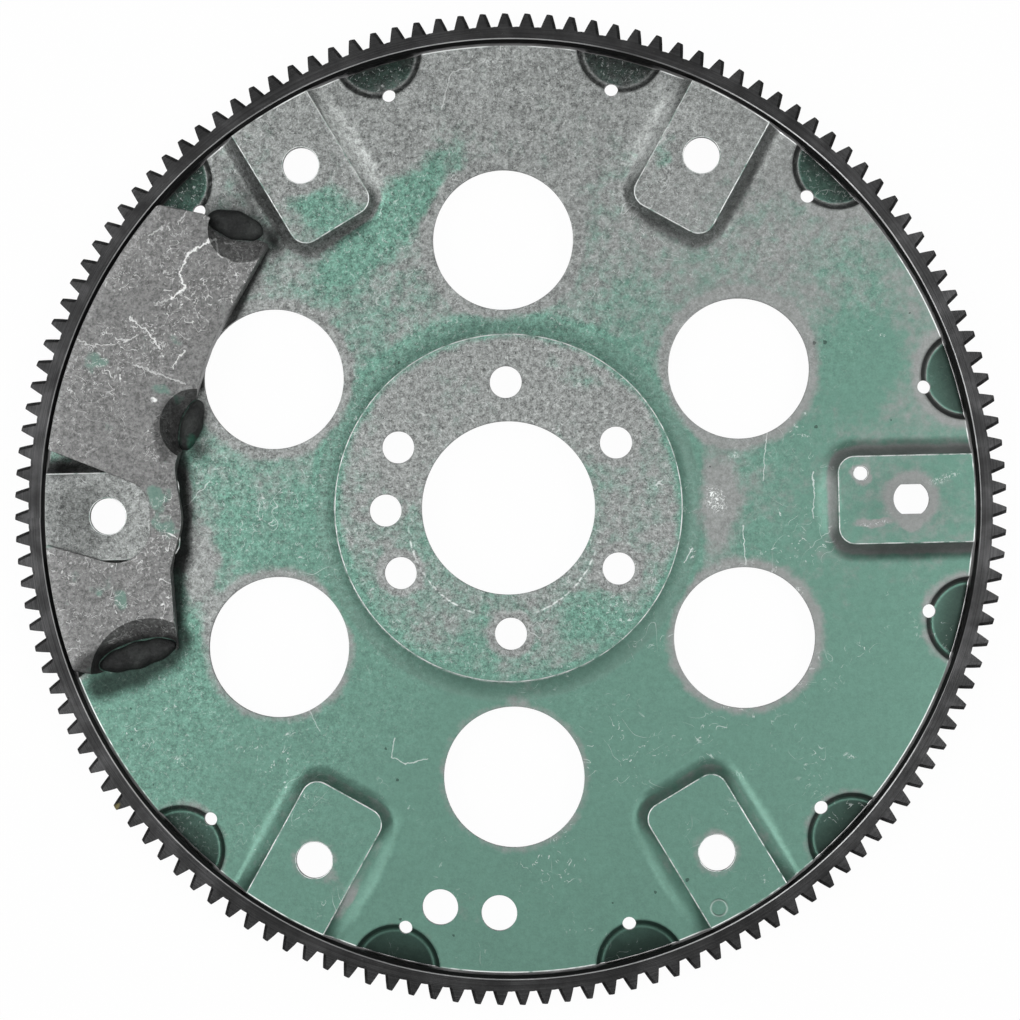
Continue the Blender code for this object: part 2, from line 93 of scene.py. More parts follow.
# Shape of the pressed flanks
FLANK_POWER = 2.2
FLANK_SHARES = (0.07, 0.14, 0.22, 0.31, 0.42, 0.55, 0.70, 0.86, 1.0)
FLANK_OVERRUN = 0.001

# Pockets along the rim
POCKET_RADIUS = 0.016
POCKET_CENTRE_PAST_RIM = 0.0039
POCKET_DEPTH = 0.0015
POCKET_DRAFT = 0.0018
POCKET_FALL = 0.12

# Outline of the weight: distance in from the rim of the disc, angle, corner radius
WEIGHT_CORNERS = (
    (0.0147, 134.84, 0.004),
    (0.0390, 131.03, 0.0015),
    (0.0454, 150.60, 0.060),
    (0.0466, 171.90, 0.010),
    (0.0504, 181.47, 0.020),
    (0.0440, 189.08, 0.008),
    (0.0379, 201.96, 0.0015),
    (0.0067, 200.74, 0.005),
)
WEIGHT_START_ANGLE = 137.9
WEIGHT_END_ANGLE = 199.4
WEIGHT_OUTER_CORNER = 0.002
WEIGHT_ARC_STEP = 1.5
NOTCH_DEPTH = 0.0387
NOTCH_SIDES = ((-0.0093, 0.011), (0.0216, 0.013))
NOTCH_MOUTH = (-0.0244, 0.0096)

# Welds: name, distance in, angle, direction, half length, half width, then its scallop
WEIGHT_WELDS = (
    ("weight_weld_upper", 0.0248, 132.80, -18.4, 0.0105, 0.0053, 0.0296, 132.65, 0.0125),
    ("weight_weld_inner", 0.0488, 164.13, 72.0, 0.0095, 0.0040, 0.0505, 163.89, 0.0133),
    ("weight_weld_lower", 0.0230, 200.44, 15.3, 0.0145, 0.0050, 0.0253, 204.04, 0.0220),
)
WELD_BEAD_HEIGHT = 0.0042
SEAT_GAP = 0.0003
SCALLOP_SILL = 0.0012

# Holes of the sheet
LIGHT_CIRCLE = 0.0972
CRANK_CIRCLE = 0.045466
CRANK_HOLE_RADIUS = 0.0058
PAD_HOLE_INSET = 0.02285
PAD_HOLE_RADIUS = 0.00655

# Marks, in millimetres: x, y, half length, half width, turn in degrees, strength
MM = 0.001
BARE_PATCHES = (
    (75.0, -1.0, 13.0, 24.0, 0.0, 0.42),
    (-18.7, -144.8, 24.0, 10.0, -8.0, 0.45),
    (144.4, -9.4, 5.0, 3.0, 0.0, 0.8),
    (-150.0, 0.0, 36.0, 28.0, 0.0, 1.2),
    (131.0, -8.5, 9.0, 2.2, 4.0, 0.8),
    (127.0, 9.3, 4.5, 4.5, 0.0, 0.8),
    (-112.0, -20.0, 9.0, 26.0, 0.0, 0.5),
    (-96.0, 88.0, 12.0, 10.0, 45.0, 0.4),
    (0.0, -66.0, 26.0, 6.0, 0.0, 0.6),
    (-64.0, -138.0, 13.0, 9.0, 60.0, 0.5),
)
OILED_PATCHES = (
    (-42.0, 105.0, 50.0, 14.0, 45.0, 0.55),
    (25.0, 47.0, 14.0, 8.0, -30.0, 0.3),
    (-62.0, 108.0, 20.0, 14.0, -30.0, 0.40),
    (60.0, 128.0, 12.0, 5.0, 60.0, 0.30),
    (75.0, 125.0, 16.0, 8.0, -20.0, 0.2),
    (126.0, 50.0, 26.0, 24.0, 0.0, 0.35),
    (30.0, -40.0, 18.0, 14.0, 0.0, 0.3),
)
# Soot at the welds and painted shade: dark patches beside the weight, in the notch and on some pad
# flanks and inner ends
SHADE_AND_SOOT_PATCHES = (
    (-97.0, 104.8, 22.0, 14.0, -18.4, 0.97),
    (-114.3, 32.5, 18.0, 10.0, 72.0, 0.95),
    (-135.5, -50.5, 28.0, 14.0, 15.3, 0.97),
    (-84.0, 100.0, 12.0, 7.0, 120.0, 0.95),
    (-90.0, 112.0, 27.0, 8.0, 120.0, 0.65),
    (88.2, 113.0, 27.0, 3.6, 60.0, 0.5),
    (57.6, 99.7, 15.0, 5.0, 150.0, 0.3),
    (-57.6, 99.7, 15.0, 5.0, 30.0, 0.3),
    (143.0, -19.6, 26.0, 4.5, 0.0, 0.25),
    (-112.0, 24.0, 7.0, 9.0, 0.0, 0.75),
    (-161.0, 18.0, 14.0, 7.0, 0.0, 0.85),
    (-155.0, 0.0, 24.0, 26.0, 0.0, 0.50),
    (142.0, 0.0, 26.0, 20.0, 0.0, 0.16),
)
# Painted shadow with some soot: dark lines along the weight's edges, as width, strength, points
SHADOW_AND_SOOT_LINES = (
    (3.0, 0.9, ((-86.4, 95.4), (-98.0, 71.5), (-111.0, 46.7))),
    (6.5, 0.92, ((-119.7, 24.0), (-118.9, 10.5), (-117.9, -0.4), (-119.0, -13.0),
                 (-121.8, -22.0), (-122.0, -40.0))),
    (8.0, 0.85, ((-150.0, -61.5), (-137.0, -58.0), (-124.0, -51.0), (-120.0, -45.0))),
)
# Painted highlight: lighter pad flanks
FLANK_HIGHLIGHT_PATCHES = (
    (-54.6, 133.3, 30.0, 5.4, 120.0, 1.0),
    (54.6, 133.3, 26.0, 5.4, 60.0, 0.75),
    (-54.6, -133.3, 28.0, 5.4, 60.0, 0.8),
    (54.6, -133.3, 28.0, 5.2, 120.0, 0.5),
    (-88.3, -114.1, 27.0, 5.0, 60.0, 0.5),
    (88.3, -114.1, 27.0, 5.0, 120.0, 0.5),
    (115.2, 0.0, 5.4, 15.0, 0.0, 0.6),
)
SHEET_SCUFFS = (
    (75.0, 1.2, 4.6, 7.0, 20.0, 1.0),
    (81.5, 17.0, 2.5, 1.6, 0.0, 0.75),
    (66.0, -18.0, 1.6, 3.2, 10.0, 0.8),
    (-1.5, 162.5, 9.0, 1.6, 0.0, 0.6),
    (156.0, 7.0, 9.0, 1.8, 20.0, 0.45),
    (4.0, 151.0, 9.0, 2.0, 10.0, 0.45),
    (-89.0, 4.0, 2.6, 4.0, 0.0, 0.5),
    (-121.0, -89.0, 3.5, 1.6, -30.0, 0.6),
    (-81.0, -80.0, 3.0, 1.4, 30.0, 0.5),
    (121.0, -92.0, 3.2, 1.3, -20.0, 0.6),
    (131.0, -8.5, 7.5, 1.2, 4.0, 0.6),
    (104.0, -32.0, 2.4, 2.0, 0.0, 0.5),
    (-54.7, 33.7, 1.2, 1.2, 0.0, 0.9),
    (57.0, 137.5, 24.0, 2.6, 62.0, 0.40),
    (-40.0, -25.0, 8.0, 12.0, 20.0, 0.25),
    (-50.0, 20.0, 6.0, 10.0, -20.0, 0.25),
    (-20.0, 150.0, 30.0, 12.0, 0.0, 0.22),
    (60.0, 145.0, 26.0, 12.0, -30.0, 0.18),
)
SHEET_SCRATCHES = (
    (0.30, 0.7, ((66.0, -16.0), (63.0, -21.0))),
    (0.26, 0.6, ((84.5, -8.0), (85.0, -22.0))),
    (0.26, 0.45, ((96.0, 32.0), (93.0, 20.0), (92.0, 8.0))),
    (0.28, 0.5, ((110.0, 11.0), (110.4, 2.0), (109.8, -6.0))),
    (0.26, 0.5, ((-43.0, -82.0), (-44.0, -89.0), (-39.0, -92.0), (-31.0, -90.0))),
    (0.26, 0.45, ((-20.0, -93.0), (-17.0, -100.0), (-18.0, -108.0))),
    (0.24, 0.4, ((-74.0, -71.0), (-70.0, -79.0))),
    (0.26, 0.5, ((-21.0, 145.0), (-19.5, 152.0), (-17.0, 158.5), (-10.6, 159.8))),
    (0.26, 0.5, ((139.0, -116.0), (141.0, -121.0))),
    (0.26, 0.45, ((-118.0, 2.0), (-108.0, 12.0))),
    (0.24, 0.35, ((-98.0, -60.0), (-88.0, -66.0), (-80.0, -64.0))),
)
SHEET_ARCS = (
    (-1.6, -5.1, 34.5, 180.0, 75.0, 0.55, 0.8),
    (-1.6, -5.1, 34.5, 285.0, 60.0, 0.55, 0.8),
    (0.0, 0.0, 63.0, 170.0, 130.0, 0.40, 0.35),
)
WEIGHT_SOOT = (
    (-94.0, 108.5, 14.0, 11.0, -28.0, 0.60),
    (-121.5, 31.0, 6.5, 14.0, -6.0, 0.58),
    (-140.0, -52.0, 26.0, 8.5, 16.0, 0.72),
)
WEIGHT_SCRATCHES = (
    (0.55, 0.95, ((-104.0, 99.5), (-113.5, 94.0), (-115.5, 90.0), (-117.0, 86.0),
                  (-114.5, 82.0), (-120.0, 78.0))),
    (0.40, 0.6, ((-104.0, 99.5), (-102.5, 94.0), (-99.0, 91.0))),
    (0.45, 0.75, ((-135.0, 71.5), (-129.0, 66.5), (-124.0, 60.0))),
    (0.35, 0.6, ((-140.0, 64.0), (-136.0, 63.2), (-132.0, 65.0))),
    (0.35, 0.55, ((-154.0, 64.0), (-150.0, 61.8), (-141.0, 62.0))),
    (0.40, 0.7, ((-115.5, 59.0), (-120.0, 53.0))),
    (0.45, 0.5, ((-134.0, 54.5), (-125.0, 51.0), (-115.5, 47.0))),
    (1.10, 0.9, ((-126.9, 41.5), (-126.1, 41.5))),
    (0.35, 0.5, ((-127.0, 101.0), (-122.0, 104.0))),
    (0.35, 0.5, ((-117.0, 105.0), (-113.5, 109.0))),
    (0.45, 0.4, ((-120.0, 78.0), (-126.0, 76.0))),
)
WELD_OIL = (
    (-120.5, 29.0, 2.6, 7.5, 0.0, 0.95),
    (-114.0, 26.0, 3.0, 3.5, 0.0, 0.8),
    (-120.0, -44.0, 3.5, 2.5, 0.0, 0.9),
    (-92.0, 116.0, 2.0, 2.0, 0.0, 0.7),
)
YELLOW_PAINT = (
    (-144.6, -105.5, 3.0, 1.2, 40.0, 0.5),
    (-132.9, -120.2, 3.0, 1.2, 45.0, 0.5),
)

# Camera fitted to the view: turns about X, Y and Z, shift, distance, focal length over width
VIEW_TURNS = (-0.0191665, -0.0350068, 0.0210263)
VIEW_OFFSET = (-0.00025438, 0.00058948, -1.2)
VIEW_LENS = 116.28
SENSOR_WIDTH = 36.0


class PlateSizes(bpy.types.PropertyGroup):
    """Sizes of the pressed disc"""
    thickness: FloatProperty(name="Sheet", description="Thickness of the pressed sheet",
                             default=0.003, min=0.001, unit="LENGTH")
    radius: FloatProperty(name="Disc radius", description="Radius of the disc's rim",
                          default=0.1676432, min=0.05, unit="LENGTH")
    bore_radius: FloatProperty(name="Bore radius", description="Radius of the centre bore",
                               default=0.0313, min=0.005, unit="LENGTH")
    hub_radius: FloatProperty(name="Hub radius", description="Radius of the raised hub",
                              default=0.06275, min=0.02, unit="LENGTH")
    hub_rise: FloatProperty(name="Hub rise", description="Height of the hub over the web",
                            default=0.0025, min=0.0, unit="LENGTH")
    pad_rise: FloatProperty(name="Pad rise", description="Height of the pads over the web",
                            default=0.005, min=0.0, unit="LENGTH")
    pad_half_width: FloatProperty(name="Pad half width", description="Half the width of a pad",
                                  default=0.01585, min=0.002, unit="LENGTH")
    pad_length: FloatProperty(name="Pad length", description="Length of a pad in from the rim",
                              default=0.0489, min=0.005, unit="LENGTH")
    flank_width: FloatProperty(name="Flank width", description="Width of each pressed flank",
                               default=0.007, min=0.001, unit="LENGTH")
    light_hole_radius: FloatProperty(name="Lightening hole", default=0.0254, min=0.002,
                                     description="Radius of a lightening hole", unit="LENGTH")


class GearSizes(bpy.types.PropertyGroup):
    """Sizes of the starter ring gear"""
    teeth: IntProperty(name="Teeth", description="Number of teeth", default=139, min=20)
    module: FloatProperty(name="Module", description="Module of the teeth",
                          default=0.00254, min=0.0005, unit="LENGTH")
    width: FloatProperty(name="Width", description="Width of the ring along the axis",
                         default=0.011, min=0.002, unit="LENGTH")
    backing: FloatProperty(name="Backing", description="Metal between the roots and the bore",
                           default=0.00575, min=0.001, unit="LENGTH")


class WeightSizes(bpy.types.PropertyGroup):
    """Sizes of the balance weight"""
    rear: FloatProperty(name="Rear face", description="Height of the face on the web",
                        default=0.0091979, unit="LENGTH")
    front: FloatProperty(name="Front face", description="Height of the weight's front face",
                         default=0.0171979, unit="LENGTH")
    outer_radius: FloatProperty(name="Outer radius", description="Radius of its outer edge",
                                default=0.1673432, unit="LENGTH")


class Finishes(bpy.types.PropertyGroup):
    """Colours of the metals"""
    sheet_grey: FloatVectorProperty(name="Sheet grey", description="Bare part of the sheet",
                                    default=(0.262, 0.275, 0.268), size=3, min=0.0, max=1.0,
                                    subtype="COLOR")
    sheet_green: FloatVectorProperty(name="Sheet green", description="Oiled part of the sheet",
                                     default=(0.126, 0.250, 0.200), size=3, min=0.0, max=1.0,
                                     subtype="COLOR")
    gear_dark: FloatVectorProperty(name="Gear", description="Scale on the hardened teeth",
                                   default=(0.046, 0.046, 0.047), size=3, min=0.0, max=1.0,
                                   subtype="COLOR")
    weight_grey: FloatVectorProperty(name="Weight", description="Plate of the weight",
                                     default=(0.195, 0.196, 0.194), size=3, min=0.0, max=1.0,
                                     subtype="COLOR")
    # Also a painted highlight on the rounded top edges of the pads and hub
    rubbed: FloatVectorProperty(name="Rubbed", description="Bright metal of rubbed edges",
                                default=(0.80, 0.82, 0.81), size=3, min=0.0, max=1.0,
                                subtype="COLOR")
    weld_dark: FloatVectorProperty(name="Weld", description="Sooty weld metal",
                                   default=(0.014, 0.015, 0.015), size=3, min=0.0, max=1.0,
                                   subtype="COLOR")


class StudioSettings(bpy.types.PropertyGroup):
    """Light and backdrop"""
    floor: FloatVectorProperty(name="Floor", description="Colour of the floor",
                               default=(1.0, 1.0, 1.0), size=3, min=0.0, max=1.0,
                               subtype="COLOR")
    overhead: FloatProperty(name="Overhead", description="Power of the long softbox",
                            default=13.4, min=0.0, unit="POWER")
    sides: FloatProperty(name="Sides", description="Power of each strip light beside the plate",
                         default=1.7, min=0.0, unit="POWER")
    surround: FloatProperty(name="Surround", description="Strength of the even light all round",
                            default=0.15, min=0.0)


def everything_off():
    """Leaves object mode with nothing selected."""
    if bpy.context.object is not None and bpy.context.object.mode != "OBJECT":
        bpy.ops.object.mode_set(mode="OBJECT")
    bpy.ops.object.select_all(action="DESELECT")


def take(piece):
    everything_off()
    piece.select_set(True)
    bpy.context.view_layer.objects.active = piece


def named(name):
    piece = bpy.context.active_object
    piece.name = name
    piece.data.name = name
    return piece


def pick(piece, kind, wanted):
    """Enters edit mode with only those faces, edges or vertices selected that are wanted."""
    if piece.mode != "EDIT":
        take(piece)
        bpy.ops.object.mode_set(mode="EDIT")
    bpy.ops.mesh.select_mode(type=kind)
    bpy.ops.mesh.select_all(action="DESELECT")
    shape = bmesh.from_edit_mesh(piece.data)
    parts = {"FACE": shape.faces, "EDGE": shape.edges, "VERT": shape.verts}[kind]
    for part in parts:
        if wanted(part):
            part.select_set(True)
    bmesh.update_edit_mesh(piece.data)


def facing(direction, share=0.99):
    aim = Vector(direction)
    return lambda face: face.normal.dot(aim) > share


def grow_along(value):
    bpy.ops.mesh.extrude_region_move(TRANSFORM_OT_translate={"value": value})


def scale_by(value, centre):
    bpy.ops.transform.resize(value=value, center_override=centre)


def settle(piece):
    """Brings the piece's place into its mesh, merges doubles and turns all faces outwards."""
    take(piece)
    bpy.ops.object.transform_apply(location=True, rotation=True, scale=True)
    bpy.ops.object.mode_set(mode="EDIT")
    bpy.ops.mesh.select_all(action="SELECT")
    bpy.ops.mesh.remove_doubles(threshold=0.000002)
    bpy.ops.mesh.normals_make_consistent(inside=False)
    bpy.ops.object.mode_set(mode="OBJECT")
    return piece


def join(pieces, name):
    everything_off()
    for piece in pieces:
        piece.select_set(True)
    bpy.context.view_layer.objects.active = pieces[0]
    bpy.ops.object.join()
    return named(name)


def turned_copies(piece, count, first=0.0, skip=()):
    """Copies of a piece round the axis, each with its own mesh."""
    copies = []
    for place in range(count):
        if place in skip:
            continue
        copy = piece.copy()
        copy.data = piece.data.copy()
        bpy.context.scene.collection.objects.link(copy)
        copy.data.transform(Matrix.Rotation(first + 2.0 * math.pi * place / count, 4, "Z"))
        copies.append(copy)
    return copies


def drop(*pieces):
    for piece in pieces:
        bpy.data.objects.remove(piece, do_unlink=True)


def machine(piece, tool, operation):
    """Applies one Boolean step with a tool that is then put away."""
    boolean = piece.modifiers.new(operation.lower(), "BOOLEAN")
    boolean.operation = operation
    boolean.solver = "EXACT"
    boolean.object = tool
    take(piece)
    bpy.ops.object.modifier_apply(modifier=boolean.name)
    drop(tool)


def bar(name, radius, low, high, segments, x=0.0, y=0.0):
    """An upright round bar between two heights."""
    everything_off()
    bpy.ops.mesh.primitive_cylinder_add(vertices=segments, radius=radius, depth=high - low,
                                        location=(x, y, (low + high) / 2.0))
    bpy.ops.object.transform_apply(location=True, rotation=True, scale=True)
    return named(name)


def step_in(profile):
    """Insets the selected cap once for each stretch of a (distance out, height) profile."""
    for (out_a, up_a), (out_b, up_b) in zip(profile, profile[1:]):
        bpy.ops.mesh.inset(thickness=out_a - out_b, depth=up_b - up_a)


def rounded(corners, step=math.radians(7.5)):
    """Points of an outline of (x, y, radius) corners, each rounded by an arc."""
    points = []
    for i, (x, y, radius) in enumerate(corners):
        if radius == 0.0:
            points.append((x, y))
            continue
        before = corners[i - 1]
        after = corners[(i + 1) % len(corners)]
        heading_in = math.atan2(y - before[1], x - before[0])
        heading_out = math.atan2(after[1] - y, after[0] - x)
        bend = (heading_out - heading_in + math.pi) % (2.0 * math.pi) - math.pi
        tangent = radius * math.tan(abs(bend) / 2.0)
        side = math.copysign(1.0, bend)
        start_x = x - tangent * math.cos(heading_in)
        start_y = y - tangent * math.sin(heading_in)
        centre_x = start_x - side * radius * math.sin(heading_in)
        centre_y = start_y + side * radius * math.cos(heading_in)
        steps = max(1, math.ceil(abs(bend) / step))
        for number in range(steps + 1):
            heading = heading_in + bend * number / steps
            points.append((centre_x + side * radius * math.sin(heading),
                           centre_y - side * radius * math.cos(heading)))
    return points


def polar(radius, degrees):
    """The x and y of a place at a radius and an angle."""
    angle = math.radians(degrees)
    return radius * math.cos(angle), radius * math.sin(angle)


def flank(rise, width, depth):
    """Side of a raised form from its foot up to its flat top, as (distance out, height).

    With a depth it is the far side of the sheet. The near side has its top edge eased.
    """
    fall = [(width * share, rise * (1.0 - share) ** FLANK_POWER) for share in (0.0, *FLANK_SHARES)]
    (out_a, up_a), (out_b, up_b) = fall[-2:]
    slope = (up_b - up_a) / (out_b - out_a)
    if depth:
        headings = [0.0]
        for (x_a, y_a), (x_b, y_b) in zip(fall, fall[1:]):
            headings.append(math.atan2(y_b - y_a, x_b - x_a))
        headings.append(0.0)
        moved = []
        for (out, up), before, after in zip(fall, headings, headings[1:]):
            middle = (before + after) / 2.0
            length = depth / math.cos((after - before) / 2.0)
            moved.append((out + length * math.sin(middle), up - length * math.cos(middle)))
        fall = moved
    else:
        edge = rounded(((-0.002, rise, 0.0), (0.0, rise, 0.0006), (*fall[1], 0.0)),
                       math.radians(15.0))
        fall = edge[1:-1] + fall[1:]
    last_out, last_up = fall[-1]
    fall[-1] = (last_out + FLANK_OVERRUN, last_up + slope * FLANK_OVERRUN)
    return fall[::-1]


def pad_form(plate, depth):
    """One converter pad along +X: a foot plate that is stepped in up to the flat top."""
    side = flank(plate.pad_rise, plate.flank_width, depth)
    foot_out, foot_up = side[0]
    inner = plate.radius - plate.pad_length - foot_out
    outer = plate.radius + 3.0 * plate.flank_width
    half = plate.pad_half_width + foot_out
    everything_off()
    bpy.ops.mesh.primitive_plane_add(size=1.0, location=((inner + outer) / 2.0, 0.0, CUT_BELOW))
    form = named("pad_form")
    pick(form, "VERT", lambda vertex: True)
    scale_by((outer - inner, 2.0 * half, 1.0), form.location)
    pick(form, "VERT", lambda vertex: vertex.co.x < 0.0)
    bpy.ops.mesh.bevel(offset=max(0.006 + foot_out, 0.003), segments=12, affect="VERTICES")
    pick(form, "FACE", lambda face: True)
    grow_along((0.0, 0.0, WEB_FRONT + foot_up - CUT_BELOW))
    step_in(side)
    return settle(form)


def hub_form(plate, depth):
    """The raised hub: a round foot stepped in up to the flat top."""
    side = flank(plate.hub_rise, plate.flank_width, depth)
    form = bar("hub_form", plate.hub_radius + side[0][0], CUT_BELOW, WEB_FRONT + side[0][1], 240)
    pick(form, "FACE", facing((0.0, 0.0, 1.0)))
    step_in(side)
    return settle(form)


def pocket_form(plate, depth):
    """One half-round pocket along +X, as the space over its floor, which falls outwards."""
    edge = plate.radius + POCKET_CENTRE_PAST_RIM - POCKET_RADIUS
    slope = math.atan2(POCKET_DEPTH, POCKET_DRAFT)
    if depth:
        shift = depth * math.tan(slope / 2.0)
        wall = [(0.0005 + shift, -depth + 0.0005), (shift, -depth),
                (shift - POCKET_DRAFT, -depth - POCKET_DEPTH)]
    else:
        wall = [(0.0006, 0.0001), (0.00012, -0.00006), (-0.0002, -0.00024),
                (-0.0014, -0.00124), (-0.00175, -0.00143), (-0.0022, -0.0015)]
    top_out, top_up = wall[0]
    form = bar("pocket_form", POCKET_RADIUS + top_out, WEB_FRONT + top_up, CUT_ABOVE, 72,
               plate.radius + POCKET_CENTRE_PAST_RIM)
    pick(form, "FACE", facing((0.0, 0.0, -1.0)))
    for (out_a, up_a), (out_b, up_b) in zip(wall, wall[1:]):
        bpy.ops.mesh.inset(thickness=out_a - out_b, depth=up_a - up_b)
    shape = bmesh.from_edit_mesh(form.data)
    surface = WEB_FRONT - depth
    for vertex in shape.verts:
        share = min(1.0, max(0.0, (surface - vertex.co.z) / POCKET_DEPTH))
        vertex.co.z -= share * POCKET_FALL * (vertex.co.x - edge)
    bmesh.update_edit_mesh(form.data)
    return settle(form)


def pressed_block(plate, depth, name):
    """A block whose top is one face of the pressed sheet."""
    block = bar(name, plate.radius + plate.flank_width / 2.0 + depth, CUT_BELOW - depth,
                WEB_FRONT - depth, 360)
    pad = pad_form(plate, depth)
    raised = turned_copies(pad, SIX_ROUND) + [hub_form(plate, depth)]
    drop(pad)
    machine(block, join(raised, "raised_forms"), "UNION")
    pocket = pocket_form(plate, depth)
    pockets = turned_copies(pocket, TWELVE_ROUND, math.radians(POCKET_ROW_START))
    drop(pocket)
    machine(block, join(pockets, "pocket_forms"), "DIFFERENCE")
    return block


def drill(name, radius, front, rear, segments, x=0.0, y=0.0, ease=0.0003):
    """A drill whose ends widen a little where they leave the sheet, as a punched edge does."""
    tool = bar(name, radius, rear + ease, front - ease, segments, x, y)
    wider = 1.0 + ease / radius
    for up in (1.0, -1.0):
        surface = front if up > 0.0 else rear
        pick(tool, "FACE", facing((0.0, 0.0, up)))
        grow_along((0.0, 0.0, up * 0.75 * ease))
        scale_by((1.0 + 0.3 * ease / radius,) * 2 + (1.0,), (x, y, surface))
        grow_along((0.0, 0.0, up * 0.25 * ease))
        scale_by((wider / (1.0 + 0.3 * ease / radius),) * 2 + (1.0,), (x, y, surface))
        grow_along((0.0, 0.0, up * 0.006))
    return settle(tool)


def slot_drill(x, low, high):
    """A round hole with its two sides cut flat."""
    tool = bar("pad_slot", SLOT_RADIUS, low, high, 64, x)
    for side in (1.0, -1.0):
        pick(tool, "FACE", lambda face: True)
        bpy.ops.mesh.bisect(plane_co=(x, side * SLOT_HALF_WIDTH, 0.0), plane_no=(0.0, side, 0.0),
                            use_fill=True, clear_outer=True)
    return settle(tool)


def drills(plate):
    """All holes of the disc in one tool."""
    web = (WEB_FRONT, WEB_FRONT - plate.thickness)
    hub = (web[0] + plate.hub_rise, web[1] + plate.hub_rise)
    pad = (web[0] + plate.pad_rise, web[1] + plate.pad_rise)
    tools = [drill("bore", plate.bore_radius, *hub, 160)]
    crank = drill("crank_hole", CRANK_HOLE_RADIUS, *hub, 48, CRANK_CIRCLE)
    tools += turned_copies(crank, SIX_ROUND, math.radians(HOLE_ROW_START))
    light = drill("light_hole", plate.light_hole_radius, *web, 128, LIGHT_CIRCLE)
    tools += turned_copies(light, SIX_ROUND, math.radians(HOLE_ROW_START))
    pad_circle = plate.radius - PAD_HOLE_INSET
    bolt = drill("pad_hole", PAD_HOLE_RADIUS, *pad, 48, pad_circle)
    tools += turned_copies(bolt, SIX_ROUND, skip=(0,))
    relief = bar("relief_hole", RELIEF_HOLE_RADIUS, CUT_BELOW, CUT_ABOVE, 28,
                 plate.radius + POCKET_CENTRE_PAST_RIM - POCKET_RADIUS + RELIEF_HOLE_SHIFT)
    tools += turned_copies(relief, TWELVE_ROUND, math.radians(POCKET_ROW_START))
    drop(crank, light, bolt, relief)
    tools.append(drill("dowel_hole", DOWEL_HOLE_RADIUS, *hub, 48, -DOWEL_CIRCLE))
    tools.append(slot_drill(pad_circle, CUT_BELOW, CUT_ABOVE))
    tools.append(drill("gauge_hole", GAUGE_HOLE_RADIUS, *pad, 28, plate.radius - GAUGE_HOLE_INSET,
                       GAUGE_HOLE_ASIDE, SMALL_HOLE_EASE))
    for degrees in BALANCE_HOLE_ANGLES:
        x, y = polar(plate.radius - BALANCE_HOLE_INSET, degrees)
        tools.append(drill("balance_hole", BALANCE_HOLE_RADIUS, *web, 48, x, y, SMALL_HOLE_EASE))
    return join(tools, "drills")


def paint_faces(piece, rules):
    """Gives each face the first material slot whose rule it meets, else slot 0."""
    for face in piece.data.polygons:
        face.material_index = 0
        for slot, rule in rules:
            if rule(face.center, face.normal):
                face.material_index = slot
                break


def smooth(piece, degrees=28.0):
    """Smooth shading over the pressed curves that leaves the flats flat."""
    take(piece)
    bpy.ops.object.shade_smooth_by_angle(angle=math.radians(degrees))
    weighted = piece.modifiers.new("flats", "WEIGHTED_NORMAL")
    weighted.keep_sharp = True
    weighted.weight = 90
    bpy.ops.object.modifier_apply(modifier=weighted.name)


def dress(piece, node, materials, rules=()):
    """Paints a finished piece and hands it over to the frame in place of a CAD node."""
    piece.data.materials.clear()
    for material in materials:
        piece.data.materials.append(material)
    paint_faces(piece, rules)
    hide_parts(node)
    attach(piece, "root")


